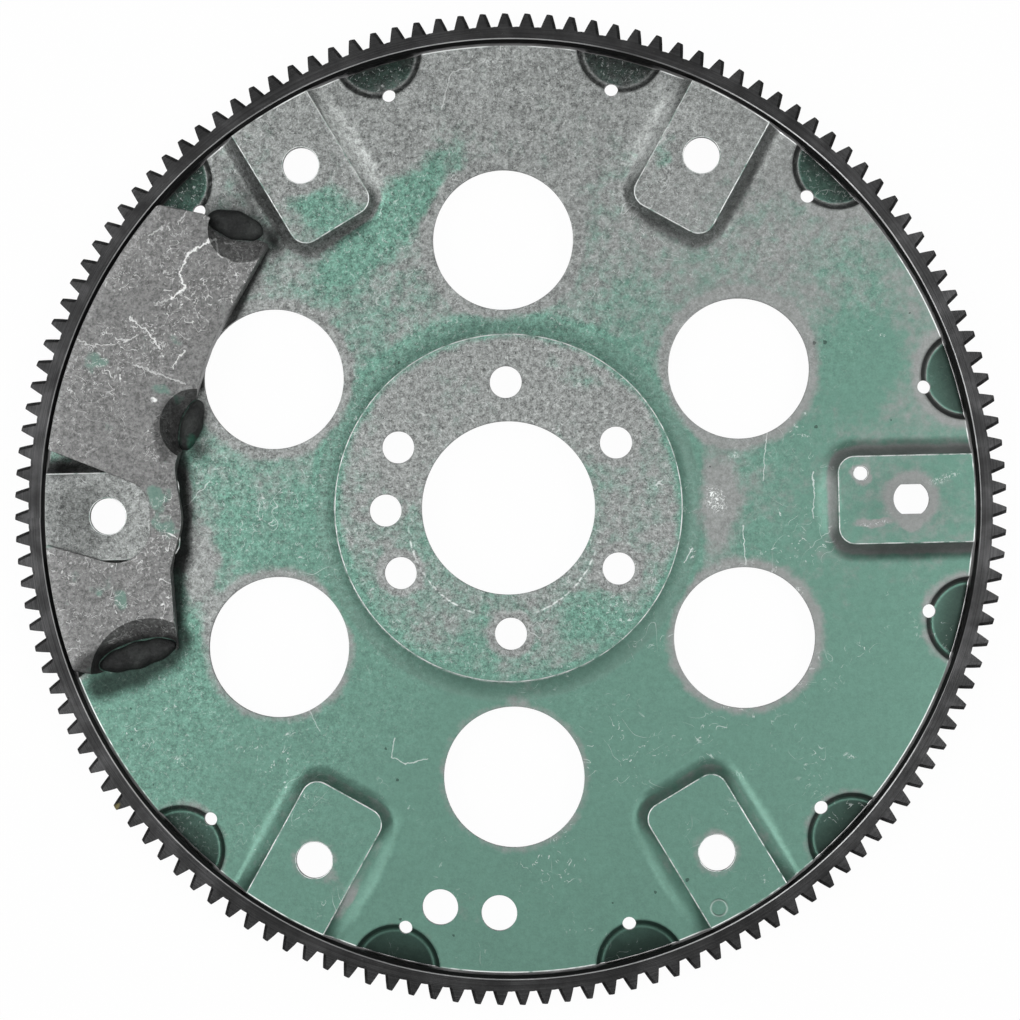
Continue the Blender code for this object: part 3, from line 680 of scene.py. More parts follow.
class Wiring:
    """Adds and links the nodes of one material or shader group."""

    def __init__(self, tree):
        self.tree = tree

    def add(self, kind, **settings):
        """A new node with its settings."""
        node = self.tree.nodes.new(kind)
        for key, value in settings.items():
            setattr(node, key, value)
        return node

    def feed(self, socket, value):
        """Links a socket, or gives it a plain value."""
        if isinstance(value, bpy.types.NodeSocket):
            self.tree.links.new(value, socket)
        elif value is not None:
            socket.default_value = value

    def calc(self, operation, a, b=None, c=None, clamp=False):
        """One step of maths."""
        node = self.add("ShaderNodeMath", operation=operation, use_clamp=clamp)
        for socket, value in zip(node.inputs, (a, b, c)):
            self.feed(socket, value)
        return node.outputs[0]

    def noise(self, vector, scale, detail=2.0, roughness=0.5, distortion=0.0):
        """Soft noise, about 0.5 on the whole."""
        node = self.add("ShaderNodeTexNoise")
        self.feed(node.inputs["Vector"], vector)
        self.feed(node.inputs["Scale"], scale)
        self.feed(node.inputs["Detail"], detail)
        self.feed(node.inputs["Roughness"], roughness)
        self.feed(node.inputs["Distortion"], distortion)
        return node.outputs["Fac"]

    def span(self, value, low, high, start=0.0, end=1.0):
        """Smooth step from start at low to end at high."""
        node = self.add("ShaderNodeMapRange", interpolation_type="SMOOTHSTEP")
        self.feed(node.inputs["Value"], value)
        self.feed(node.inputs["From Min"], low)
        self.feed(node.inputs["From Max"], high)
        self.feed(node.inputs["To Min"], start)
        self.feed(node.inputs["To Max"], end)
        return node.outputs["Result"]

    def blend(self, factor, a, b, kind="MIX"):
        """Colour a going over to colour b."""
        node = self.add("ShaderNodeMix", data_type="RGBA", blend_type=kind)
        self.feed(node.inputs[0], factor)
        self.feed(node.inputs[6], a)
        self.feed(node.inputs[7], b)
        return node.outputs[2]

    def mapped(self, vector, scale):
        """A place stretched along the axes."""
        node = self.add("ShaderNodeMapping")
        self.feed(node.inputs["Vector"], vector)
        node.inputs["Scale"].default_value = scale
        return node.outputs["Vector"]

    def place(self):
        """Where a point lies on the part."""
        return self.add("ShaderNodeTexCoord").outputs["Object"]

    def along(self, vector, axis):
        """How far a place lies along an axis."""
        node = self.add("ShaderNodeVectorMath", operation="DOT_PRODUCT")
        self.feed(node.inputs[0], vector)
        self.feed(node.inputs[1], axis)
        return node.outputs["Value"]

    def split(self, vector):
        """The x, y and z of a place and its distance from the axis."""
        x = self.along(vector, (1.0, 0.0, 0.0))
        y = self.along(vector, (0.0, 1.0, 0.0))
        z = self.along(vector, (0.0, 0.0, 1.0))
        return x, y, z, self.length(x, y)

    def length(self, x, y):
        """Length of a flat line from its two parts."""
        return self.calc("SQRT", self.calc("MULTIPLY_ADD", x, x, self.calc("MULTIPLY", y, y)))

    def ragged(self, vector, scale, amount):
        """The same place pushed about by noise, so that marks get ragged outlines."""
        noise = self.add("ShaderNodeTexNoise")
        self.feed(noise.inputs["Vector"], vector)
        noise.inputs["Scale"].default_value = scale
        noise.inputs["Detail"].default_value = 3.0
        shift = self.add("ShaderNodeVectorMath", operation="MULTIPLY_ADD")
        self.feed(shift.inputs[0], noise.outputs["Color"])
        shift.inputs[1].default_value = (amount, amount, 0.0)
        shift.inputs[2].default_value = (-amount / 2.0, -amount / 2.0, 0.0)
        moved = self.add("ShaderNodeVectorMath", operation="ADD")
        self.feed(moved.inputs[0], vector)
        self.feed(moved.inputs[1], shift.outputs[0])
        return moved.outputs[0]

    def use(self, name, **values):
        """Outputs of a shader group fed with these values, with a space for each underscore."""
        node = self.add("ShaderNodeGroup", node_tree=bpy.data.node_groups[name])
        for key, value in values.items():
            self.feed(node.inputs[key.replace("_", " ")], value)
        return node.outputs

    def higher(self, total, mask, strength=1.0):
        """The higher of two masks. Made mask by mask, as a shader holds few values at once."""
        if strength != 1.0:
            mask = self.calc("MULTIPLY", mask, strength)
        return mask if total is None else self.calc("MAXIMUM", total, mask)

    def patches(self, vector, places, soft=0.7):
        """Soft ovals from (x, y, half length, half width, turn in degrees, strength), in mm."""
        total = None
        for x, y, long, wide, turn, strength in places:
            if turn == 0.0:
                mask = self.use("level_patch", Vector=vector, Shift=(-x / long, -y / wide, 0.0),
                                Scale=(1.0 / long / MM, 1.0 / wide / MM, 0.0), Soft=soft,
                                Strength=strength)["Mask"]
            else:
                across, up = math.cos(math.radians(turn)), math.sin(math.radians(turn))
                mask = self.use("soft_patch", Vector=vector, Centre=(x * MM, y * MM, 0.0),
                                Long_Axis=(across / long / MM, up / long / MM, 0.0),
                                Wide_Axis=(-up / wide / MM, across / wide / MM, 0.0), Soft=soft,
                                Strength=strength)["Mask"]
            total = self.higher(total, mask)
        return total

    def strokes(self, vector, lines, total=None):
        """Thin scratches from (width, strength, points), in mm."""
        for width, strength, points in lines:
            for (x_a, y_a), (x_b, y_b) in zip(points, points[1:]):
                mask = self.use("scratch", Vector=vector, Start=(x_a * MM, y_a * MM, 0.0),
                                End=(x_b * MM, y_b * MM, 0.0), Width=width * MM,
                                Strength=strength)["Mask"]
                total = self.higher(total, mask)
        return total

    def tint(self, tone, factor):
        """A colour made darker or lighter."""
        return self.blend(1.0, tone, factor, "MULTIPLY")


def new_group(name, inputs, outputs):
    """A shader group with named sockets, its wiring, and the sockets inside it."""
    group = bpy.data.node_groups.new(name, "ShaderNodeTree")
    for label, kind, default in inputs:
        socket = group.interface.new_socket(name=label, in_out="INPUT", socket_type=kind)
        if default is not None:
            socket.default_value = default
    for label, kind in outputs:
        group.interface.new_socket(name=label, in_out="OUTPUT", socket_type=kind)
    entry = group.nodes.new("NodeGroupInput")
    leave = group.nodes.new("NodeGroupOutput")
    return Wiring(group), entry.outputs, leave.inputs


def steel_grain_group():
    """Fine speckle, blotches, dark specks and pits of rolled steel."""
    wires, given, result = new_group(
        "steel_grain",
        [("Vector", "NodeSocketVector", None), ("Grain Scale", "NodeSocketFloat", 1300.0),
         ("Speck Share", "NodeSocketFloat", 0.03)],
        [("Speckle", "NodeSocketFloat"), ("Blotch", "NodeSocketFloat"),
         ("Speck", "NodeSocketFloat"), ("Height", "NodeSocketFloat")])
    fine = wires.noise(given["Vector"], given["Grain Scale"], 3.0, 0.7)
    blotch = wires.noise(given["Vector"], 75.0, 5.0, 0.62, 0.3)
    pushed = wires.ragged(given["Vector"], 900.0, 0.0012)
    cells = wires.add("ShaderNodeTexVoronoi", feature="F1")
    wires.feed(cells.inputs["Vector"], pushed)
    cells.inputs["Scale"].default_value = 260.0
    chance = wires.add("ShaderNodeSeparateColor")
    wires.feed(chance.inputs[0], cells.outputs["Color"])
    chosen = wires.calc("LESS_THAN", chance.outputs[0], given["Speck Share"])
    size = wires.calc("MULTIPLY", chance.outputs[1], 0.20)
    dot = wires.calc("LESS_THAN", cells.outputs["Distance"], size)
    speck = wires.calc("MULTIPLY", chosen, dot)
    wires.feed(result["Speckle"], fine)
    wires.feed(result["Blotch"], blotch)
    wires.feed(result["Speck"], speck)
    wires.feed(result["Height"], wires.calc("SUBTRACT", wires.calc("MULTIPLY", fine, 0.6), speck))


def hairline_group():
    """Thin wandering scratches, broken into short lengths."""
    wires, given, result = new_group(
        "hairlines",
        [("Vector", "NodeSocketVector", None), ("Scale", "NodeSocketFloat", 60.0),
         ("Width", "NodeSocketFloat", 0.01), ("Break", "NodeSocketFloat", 0.5)],
        [("Line", "NodeSocketFloat")])
    wave = wires.noise(given["Vector"], given["Scale"], 2.0, 0.55, 0.6)
    off = wires.calc("ABSOLUTE", wires.calc("SUBTRACT", wave, 0.5))
    line = wires.span(off, given["Width"], 0.0)
    broken = wires.noise(given["Vector"], wires.calc("MULTIPLY", given["Scale"], 2.3), 3.0, 0.6)
    kept = wires.span(broken, given["Break"], wires.calc("ADD", given["Break"], 0.08))
    wires.feed(result["Line"], wires.calc("MULTIPLY", line, kept))


def hole_row_group():
    """Distance outside the nearest circle of a row of equal circles round the axis."""
    wires, given, result = new_group(
        "hole_row",
        [("Vector", "NodeSocketVector", None), ("Pitch", "NodeSocketFloat", math.pi / 3.0),
         ("First", "NodeSocketFloat", 0.0), ("Circle", "NodeSocketFloat", 0.0972),
         ("Radius", "NodeSocketFloat", 0.0254)],
        [("Distance", "NodeSocketFloat")])
    x, y, _, reach = wires.split(given["Vector"])
    angle = wires.calc("SUBTRACT", wires.calc("ARCTAN2", y, x), given["First"])
    half = wires.calc("MULTIPLY", given["Pitch"], 0.5)
    folded = wires.calc("SUBTRACT", wires.calc("FLOORED_MODULO", wires.calc("ADD", angle, half),
                                               given["Pitch"]), half)
    near_x = wires.calc("SUBTRACT", wires.calc("MULTIPLY", reach, wires.calc("COSINE", folded)),
                        given["Circle"])
    near_y = wires.calc("MULTIPLY", reach, wires.calc("SINE", folded))
    away = wires.length(near_x, near_y)
    wires.feed(result["Distance"], wires.calc("SUBTRACT", away, given["Radius"]))


def soft_patch_group():
    """A turned soft oval, 0 outside. Each axis is as long as one over the half size."""
    wires, given, result = new_group(
        "soft_patch",
        [("Vector", "NodeSocketVector", None), ("Centre", "NodeSocketVector", None),
         ("Long Axis", "NodeSocketVector", (100.0, 0.0, 0.0)),
         ("Wide Axis", "NodeSocketVector", (0.0, 100.0, 0.0)), ("Soft", "NodeSocketFloat", 0.7),
         ("Strength", "NodeSocketFloat", 1.0)],
        [("Mask", "NodeSocketFloat")])
    shift = wires.add("ShaderNodeVectorMath", operation="SUBTRACT")
    wires.feed(shift.inputs[0], given["Vector"])
    wires.feed(shift.inputs[1], given["Centre"])
    far = wires.along(shift.outputs[0], given["Long Axis"])
    wide = wires.along(shift.outputs[0], given["Wide Axis"])
    inner = wires.calc("SUBTRACT", 1.0, given["Soft"])
    wires.feed(result["Mask"], wires.span(wires.length(far, wide), 1.0, inner, 0.0,
                                          given["Strength"]))


def level_patch_group():
    """A soft oval along x and y, 0 outside. Scale is one over each half size."""
    wires, given, result = new_group(
        "level_patch",
        [("Vector", "NodeSocketVector", None), ("Scale", "NodeSocketVector", (100.0, 100.0, 0.0)),
         ("Shift", "NodeSocketVector", None), ("Soft", "NodeSocketFloat", 0.7),
         ("Strength", "NodeSocketFloat", 1.0)],
        [("Mask", "NodeSocketFloat")])
    here = wires.add("ShaderNodeVectorMath", operation="MULTIPLY_ADD")
    for socket, name in zip(here.inputs, ("Vector", "Scale", "Shift")):
        wires.feed(socket, given[name])
    away = wires.add("ShaderNodeVectorMath", operation="LENGTH")
    wires.feed(away.inputs[0], here.outputs[0])
    inner = wires.calc("SUBTRACT", 1.0, given["Soft"])
    wires.feed(result["Mask"], wires.span(away.outputs["Value"], 1.0, inner, 0.0,
                                          given["Strength"]))


def scratch_group():
    """One straight scratch between two points, seen from the front."""
    wires, given, result = new_group(
        "scratch",
        [("Vector", "NodeSocketVector", None), ("Start", "NodeSocketVector", None),
         ("End", "NodeSocketVector", None), ("Width", "NodeSocketFloat", 0.0004),
         ("Strength", "NodeSocketFloat", 1.0)],
        [("Mask", "NodeSocketFloat")])

    def vector(operation, a, b):
        """One step of vector maths."""
        node = wires.add("ShaderNodeVectorMath", operation=operation)
        wires.feed(node.inputs[0], a)
        wires.feed(node.inputs[1], b)
        return node

    flat = vector("MULTIPLY", given["Vector"], (1.0, 1.0, 0.0)).outputs[0]
    along = vector("SUBTRACT", given["End"], given["Start"]).outputs[0]
    here = vector("SUBTRACT", flat, given["Start"]).outputs[0]
    share = wires.calc("DIVIDE", vector("DOT_PRODUCT", here, along).outputs["Value"],
                       vector("DOT_PRODUCT", along, along).outputs["Value"], clamp=True)
    nearest = wires.add("ShaderNodeVectorMath", operation="SCALE")
    wires.feed(nearest.inputs[0], along)
    wires.feed(nearest.inputs["Scale"], share)
    away = vector("DISTANCE", here, nearest.outputs[0]).outputs["Value"]
    edge = wires.calc("MULTIPLY", given["Width"], 0.25)
    wires.feed(result["Mask"], wires.span(away, given["Width"], edge, 0.0, given["Strength"]))


def arc_line_group():
    """A thin line along an arc: First and Sweep are angles."""
    wires, given, result = new_group(
        "arc_line",
        [("Vector", "NodeSocketVector", None), ("Centre", "NodeSocketVector", None),
         ("Radius", "NodeSocketFloat", 0.03), ("Width", "NodeSocketFloat", 0.0004),
         ("First", "NodeSocketFloat", 0.0), ("Sweep", "NodeSocketFloat", 2.0 * math.pi)],
        [("Mask", "NodeSocketFloat")])
    shift = wires.add("ShaderNodeVectorMath", operation="SUBTRACT")
    wires.feed(shift.inputs[0], given["Vector"])
    wires.feed(shift.inputs[1], given["Centre"])
    x, y, _, reach = wires.split(shift.outputs[0])
    off = wires.calc("ABSOLUTE", wires.calc("SUBTRACT", reach, given["Radius"]))
    line = wires.span(off, given["Width"], 0.0)
    turn = wires.calc("FLOORED_MODULO", wires.calc("SUBTRACT", wires.calc("ARCTAN2", y, x),
                                                   given["First"]), 2.0 * math.pi)
    rest = wires.calc("SUBTRACT", given["Sweep"], turn)
    ends = wires.calc("MULTIPLY", wires.span(turn, -0.001, 0.15), wires.span(rest, 0.0, 0.15))
    whole = wires.calc("GREATER_THAN", given["Sweep"], 6.28)
    wires.feed(result["Mask"], wires.calc("MULTIPLY", line, wires.calc("MAXIMUM", ends, whole)))


def new_metal(name, metallic, roughness):
    """A steel with its own shader; colour, roughness and bump come from what is wired in."""
    material = bpy.data.materials.new(name)
    material.use_nodes = True
    shader = material.node_tree.nodes["Principled BSDF"]
    shader.inputs["Metallic"].default_value = metallic
    shader.inputs["Roughness"].default_value = roughness
    return material, Wiring(material.node_tree), shader


def add_bump(wires, shader, height, distance):
    """Fine relief, at most as deep as the distance for each 1 of height."""
    bump = wires.add("ShaderNodeBump")
    bump.inputs["Strength"].default_value = 1.0
    bump.inputs["Distance"].default_value = distance
    wires.feed(bump.inputs["Height"], height)
    wires.feed(shader.inputs["Normal"], bump.outputs["Normal"])


def bare_share(wires, place, plate, rows):
    """Where the oil is rubbed off: 1 shows grey steel and 0 the green film."""
    _, y, z, reach = wires.split(place)
    bare = wires.calc("MULTIPLY", y, 3.6)
    drift = wires.noise(place, 22.0, 6.0, 0.68, 0.4)
    bare = wires.calc("MULTIPLY_ADD", drift, 1.15, bare)
    bare = wires.calc("MULTIPLY_ADD", wires.noise(place, 230.0, 3.0, 0.6), 0.7, bare)
    for row, far, lift in ((rows["light"], 0.0060, 0.60), (rows["crank"], 0.0045, 0.50),
                           (rows["bolt"], 0.0055, 0.62), (rows["pocket"], 0.0050, 0.50)):
        bare = wires.calc("ADD", bare, wires.span(row, far, 0.0, 0.0, lift))
    bare = wires.calc("ADD", bare, wires.span(rows["pocket"], -0.001, -0.003, 0.0, -0.9))
    loose = wires.ragged(place, 120.0, 0.006)
    bare = wires.calc("ADD", bare, wires.patches(loose, BARE_PATCHES))
    bare = wires.calc("SUBTRACT", bare, wires.patches(loose, OILED_PATCHES))
    ring = wires.calc("ABSOLUTE", wires.calc("SUBTRACT", reach, plate.hub_radius + 0.0045))
    bare = wires.calc("SUBTRACT", bare, wires.span(ring, 0.007, 0.002, 0.0, 0.35))
    hub = wires.span(reach, plate.hub_radius, plate.hub_radius - 0.004, 0.0, 0.32)
    bare = wires.calc("ADD", bare, hub)
    over_web = wires.span(z, WEB_FRONT + 0.0004, WEB_FRONT + 0.0016)
    under_top = wires.span(z, WEB_FRONT + plate.pad_rise - 0.0001, WEB_FRONT + plate.pad_rise
                           - 0.0008)
    side = wires.calc("MULTIPLY", wires.calc("MULTIPLY", over_web, under_top),
                      wires.span(reach, 0.095, 0.105))
    bare = wires.calc("MULTIPLY_ADD", side, 0.45, bare)
    return wires.span(bare, 0.86, 1.40)


def sheet_marks(wires, place, reach, plate, coarse, pocket, marks):
    """Scuffs, scratches and turning arcs of the front face, and its bright rim, partly a painted
    highlight.
    """
    jagged = wires.ragged(place, 420.0, 0.0022)
    dense = wires.span(wires.noise(place, 900.0, 3.0, 0.75, 1.2), 0.50, 0.62)
    scuffs = wires.patches(jagged, SHEET_SCUFFS, 0.6)
    marks = wires.higher(marks, wires.calc("MULTIPLY", scuffs, dense))
    marks = wires.strokes(jagged, SHEET_SCRATCHES, marks)
    wavy = wires.ragged(place, 260.0, 0.0006)
    grit = wires.span(coarse, 0.38, 0.58)
    for cx, cy, radius, first, sweep, width, shine in SHEET_ARCS:
        arc = wires.use("arc_line", Vector=wavy, Centre=(cx * MM, cy * MM, 0.0),
                        Radius=radius * MM, Width=width * MM, First=math.radians(first),
                        Sweep=math.radians(sweep))["Mask"]
        marks = wires.higher(marks, wires.calc("MULTIPLY", arc, grit), shine)
    # A broken bright line along the rim's front edge: rubbed metal and a painted highlight.
    lip = wires.calc("MULTIPLY", wires.span(pocket, 0.0, 0.001),
                     wires.span(reach, plate.radius - 0.0005, plate.radius - 0.0003))
    lip = wires.calc("MULTIPLY", lip, wires.span(wires.noise(place, 40.0, 4.0, 0.7), 0.44, 0.54,
                                                 0.08, 0.9))
    return wires.higher(marks, lip)


def oiled_sheet(finishes, plate, name, marked):
    """Sheet with a green oil film, rubbed bare in places, with painted shade in the pockets, and if
    marked sooty and scratched, with painted shade beside the weight and on some pad flanks and painted
    highlights on others.
    """
    material, wires, shader = new_metal(name, 0.75, 0.45)
    place = wires.place()
    x, y, _, reach = wires.split(place)
    rows = {}
    for row, count, first, circle, radius in (
            ("light", SIX_ROUND, HOLE_ROW_START, LIGHT_CIRCLE, plate.light_hole_radius),
            ("crank", SIX_ROUND, HOLE_ROW_START, CRANK_CIRCLE, CRANK_HOLE_RADIUS),
            ("bolt", SIX_ROUND, 0.0, plate.radius - PAD_HOLE_INSET, PAD_HOLE_RADIUS),
            ("pocket", TWELVE_ROUND, POCKET_ROW_START, plate.radius + POCKET_CENTRE_PAST_RIM,
             POCKET_RADIUS)):
        rows[row] = wires.use("hole_row", Vector=place, Pitch=2.0 * math.pi / count,
                               First=math.radians(first), Circle=circle,
                               Radius=radius)["Distance"]
    grain = wires.use("steel_grain", Vector=place, Grain_Scale=1500.0, Speck_Share=0.03)
    bare = bare_share(wires, place, plate, rows)
    tone = wires.blend(bare, (*finishes.sheet_green, 1.0), (*finishes.sheet_grey, 1.0))

    wear = wires.calc("MULTIPLY_ADD", x, -2.6, 0.05)
    wear = wires.calc("MULTIPLY_ADD", y, 3.2, wear)
    wear = wires.calc("ADD", wear, wires.span(reach, plate.hub_radius + 0.001,
                                              plate.hub_radius - 0.002, 0.0, 0.40))
    wear = wires.span(wires.calc("MULTIPLY_ADD", wires.noise(place, 18.0, 3.0, 0.6), 0.9, wear),
                      0.1, 1.0)
    film = wires.calc("MULTIPLY", wires.calc("SUBTRACT", 1.0, bare), wear)
    shade = wires.calc("MULTIPLY_ADD", film, 0.14, 0.97)
    shade = wires.calc("MULTIPLY", shade, wires.span(grain["Blotch"], 0.3, 0.7, 0.92, 1.08))
    coarse = wires.noise(place, 520.0, 2.0, 0.6)
    dust = wires.calc("ADD", wires.span(grain["Speckle"], 0.3, 0.7, -0.5, 0.5),
                      wires.span(coarse, 0.3, 0.7, -0.4, 0.4))
    strength = wires.calc("MULTIPLY_ADD", wear, 0.68, 0.12)
    shade = wires.calc("MULTIPLY", shade, wires.calc("MULTIPLY_ADD", dust, strength, 1.0))
    shade = wires.calc("MULTIPLY", shade, wires.calc("MULTIPLY_ADD", grain["Speck"], -0.55, 1.0))

    # Painted shade in the pockets: a dark line down each pocket wall and a darker floor, darkest
    # towards the rim and mottled like soot.
    edge = wires.span(rows["pocket"], 0.0011, 0.0)
    inside = wires.span(rows["pocket"], -0.0009, -0.0015)
    line = wires.calc("SUBTRACT", edge, inside)
    deep = wires.span(rows["pocket"], -0.0018, -0.0030)
    fall = wires.span(reach, plate.radius - 0.012, plate.radius, 0.42, 0.15)
    sooty = wires.calc("MULTIPLY_ADD", wires.noise(place, 160.0, 3.0, 0.6), 0.5, 0.75)
    shade = wires.calc("MULTIPLY", shade, wires.calc("MULTIPLY_ADD", line, -0.52, 1.0))
    shade = wires.calc("MULTIPLY", shade, wires.calc("SUBTRACT", 1.0, wires.calc(
        "MULTIPLY", deep, wires.calc("SUBTRACT", 1.0, wires.calc("MULTIPLY", fall, sooty)))))
    height = grain["Height"]
    if marked:
        # Soot at the welds and painted shade beside the weight and on some pad flanks darken the
        # sheet.
        loose = wires.ragged(place, 90.0, 0.003)
        soot_and_shade = wires.strokes(loose, SHADOW_AND_SOOT_LINES, wires.patches(loose, SHADE_AND_SOOT_PATCHES, 0.9))
        shade = wires.calc("MULTIPLY", shade, wires.calc("SUBTRACT", 1.0, soot_and_shade))
        # Painted highlight that lightens some pad flanks.
        pale = wires.patches(wires.ragged(place, 200.0, 0.002), FLANK_HIGHLIGHT_PATCHES, 0.5)
        shade = wires.calc("MULTIPLY", shade, wires.calc("ADD", pale, 1.0))
    tone = wires.tint(tone, shade)
    round_hub = wires.calc("ABSOLUTE", wires.calc("SUBTRACT", reach, plate.hub_radius + 0.0035))
    film_share = wires.span(round_hub, 0.0030, 0.0045, 0.80, 0.0)
    if marked:
        # The painted-highlight flanks are also made less metallic.
        film_share = wires.calc("MAXIMUM", film_share, pale)
    wires.feed(shader.inputs["Metallic"], wires.calc("MULTIPLY_ADD", film_share, -0.75, 0.75))

    fine = wires.use("hairlines", Vector=place, Scale=330.0, Width=0.030, Break=0.50)["Line"]
    marks = wires.calc("MULTIPLY", wires.calc("MULTIPLY", fine, wear), 0.42)
    zone = wires.span(wires.noise(place, 30.0, 3.0, 0.6), 0.50, 0.64)
    crackle = wires.use("hairlines", Vector=place, Scale=150.0, Width=0.012, Break=0.50)["Line"]
    marks = wires.higher(marks, wires.calc("MULTIPLY", crackle, zone), 0.62)
    long = wires.use("hairlines", Vector=place, Scale=38.0, Width=0.0026, Break=0.46)["Line"]
    marks = wires.higher(marks, wires.calc("MULTIPLY", long, zone), 0.50)
    if marked:
        marks = sheet_marks(wires, place, reach, plate, coarse, rows["pocket"], marks)
        # Scratches fade under the soot and painted shade.
        marks = wires.calc("MULTIPLY", marks, wires.calc("SUBTRACT", 1.0, soot_and_shade))
    tone = wires.blend(marks, tone, (0.80, 0.83, 0.82, 1.0))
    if marked:
        punched = wires.use("arc_line", Vector=place, Centre=PUNCHED_RING_CENTRE,
                            Radius=PUNCHED_RING_RADIUS, Width=PUNCHED_RING_WIDTH)["Mask"]
        tone = wires.blend(wires.calc("MULTIPLY", punched, 0.4), tone, (0.6, 0.68, 0.64, 1.0))
        height = wires.calc("SUBTRACT", height, wires.calc("MULTIPLY", punched, 3.0))
    wires.feed(shader.inputs["Base Color"], tone)
    wires.feed(shader.inputs["Roughness"], wires.span(grain["Blotch"], 0.3, 0.7, 0.38, 0.5))
    add_bump(wires, shader, height, 0.00006)
    return material


def burnished_and_highlit_edge(finishes):
    """Pale rubbed metal along the edges of the pads and the hub, partly a painted highlight where
    light catches the rounded edges.
    """
    material, wires, shader = new_metal("burnished_and_highlit_edge", 0.35, 0.35)
    place = wires.place()
    rub = wires.span(wires.noise(place, 240.0, 4.0, 0.65), 0.30, 0.60)
    tone = wires.blend(rub, (*finishes.sheet_green, 1.0), (*finishes.rubbed, 1.0))
    wires.feed(shader.inputs["Base Color"], tone)
    wires.feed(shader.inputs["Roughness"], wires.span(rub, 0.0, 1.0, 0.45, 0.3))
    add_bump(wires, shader, wires.noise(place, 1800.0, 2.0), 0.00003)
    return material


def sheared_wall():
    """Dull torn metal on the walls of punched holes and the rim."""
    material, wires, shader = new_metal("sheared_wall", 0.8, 0.5)
    place = wires.place()
    streaks = wires.noise(wires.mapped(place, (1.0, 1.0, 0.12)), 900.0, 3.0, 0.6)
    tone = wires.blend(wires.span(streaks, 0.3, 0.7), (0.04, 0.045, 0.043, 1.0),
                       (0.16, 0.17, 0.165, 1.0))
    wires.feed(shader.inputs["Base Color"], tone)
    wires.feed(shader.inputs["Roughness"], wires.span(streaks, 0.3, 0.7, 0.6, 0.42))
    add_bump(wires, shader, streaks, 0.0001)
    return material


def hardened_scale(finishes, name, inner, shade):
    """Near-black scale on the ring gear, turned in fine circles, with rubbed spots. Painted shade
    darkens the top and bottom and the bore chamfer, a painted highlight runs along the bore's front
    edge, and shade darkens the whole colour for a shaded copy.
    """
    material, wires, shader = new_metal(name, 0.6, 0.5)
    place = wires.place()
    x, y, z, reach = wires.split(place)
    grain = wires.use("steel_grain", Vector=place, Grain_Scale=900.0, Speck_Share=0.05)
    out = wires.calc("MULTIPLY", reach, 2600.0)
    around = wires.calc("MULTIPLY", wires.calc("ARCTAN2", y, x), 3.0)
    up = wires.calc("MULTIPLY", z, 300.0)
    turned = wires.add("ShaderNodeCombineXYZ")
    for socket, value in zip(turned.inputs, (out, around, up)):
        wires.feed(socket, value)
    circles = wires.noise(turned.outputs[0], 1.0, 3.0, 0.6)
    dark = tuple(part * shade for part in finishes.gear_dark)
    pale = tuple(part * shade * 1.7 for part in finishes.gear_dark)
    tone = wires.blend(wires.span(grain["Blotch"], 0.35, 0.7), (*dark, 1.0), (*pale, 1.0))
    # Painted shade: the ring is darker at the top and bottom.
    far = wires.span(wires.calc("ABSOLUTE", y), 0.06, 0.17, 1.0, 0.5)
    tone = wires.tint(tone, wires.calc("MULTIPLY", far, wires.span(circles, 0.3, 0.7, 0.72, 1.3)))
    rub = wires.calc("MULTIPLY", wires.span(grain["Speckle"], 0.62, 0.85, 0.0, 0.5), shade)
    tone = wires.blend(rub, tone, (0.14, 0.14, 0.14, 1.0))
    tone = wires.blend(wires.calc("MULTIPLY", grain["Speck"], 0.8), tone,
                       (0.008, 0.008, 0.008, 1.0))
    # Painted shade: the bore and its chamfer are nearly black.
    tone = wires.tint(tone, wires.span(reach, inner + 0.0011, inner + 0.0014, 0.12, 1.0))
    # Painted highlight: a broken bright line along the front edge of the bore chamfer, brighter on the
    # right.
    front = wires.span(z, 0.0104, 0.0108)
    line = wires.span(wires.calc("ABSOLUTE", wires.calc("SUBTRACT", reach, inner + 0.00145)),
                      0.0003, 0.0001)
    broken = wires.span(wires.noise(turned.outputs[0], 0.35, 4.0, 0.7), 0.38, 0.60)
    line = wires.calc("MULTIPLY", wires.calc("MULTIPLY", line, front), broken)
    line = wires.calc("MULTIPLY", line, wires.span(x, 0.02, 0.12, 0.45, 1.0))
    tone = wires.blend(line, tone, (0.75, 0.76, 0.76, 1.0))
    yellow = wires.patches(place, YELLOW_PAINT, 0.5)
    tone = wires.blend(yellow, tone, (0.32, 0.27, 0.10, 1.0))
    wires.feed(shader.inputs["Base Color"], tone)
    wires.feed(shader.inputs["Roughness"], wires.span(grain["Blotch"], 0.3, 0.7, 0.62, 0.42))
    add_bump(wires, shader, wires.calc("ADD", grain["Height"], wires.calc(
        "MULTIPLY", circles, 1.6)), 0.00014)
    return material


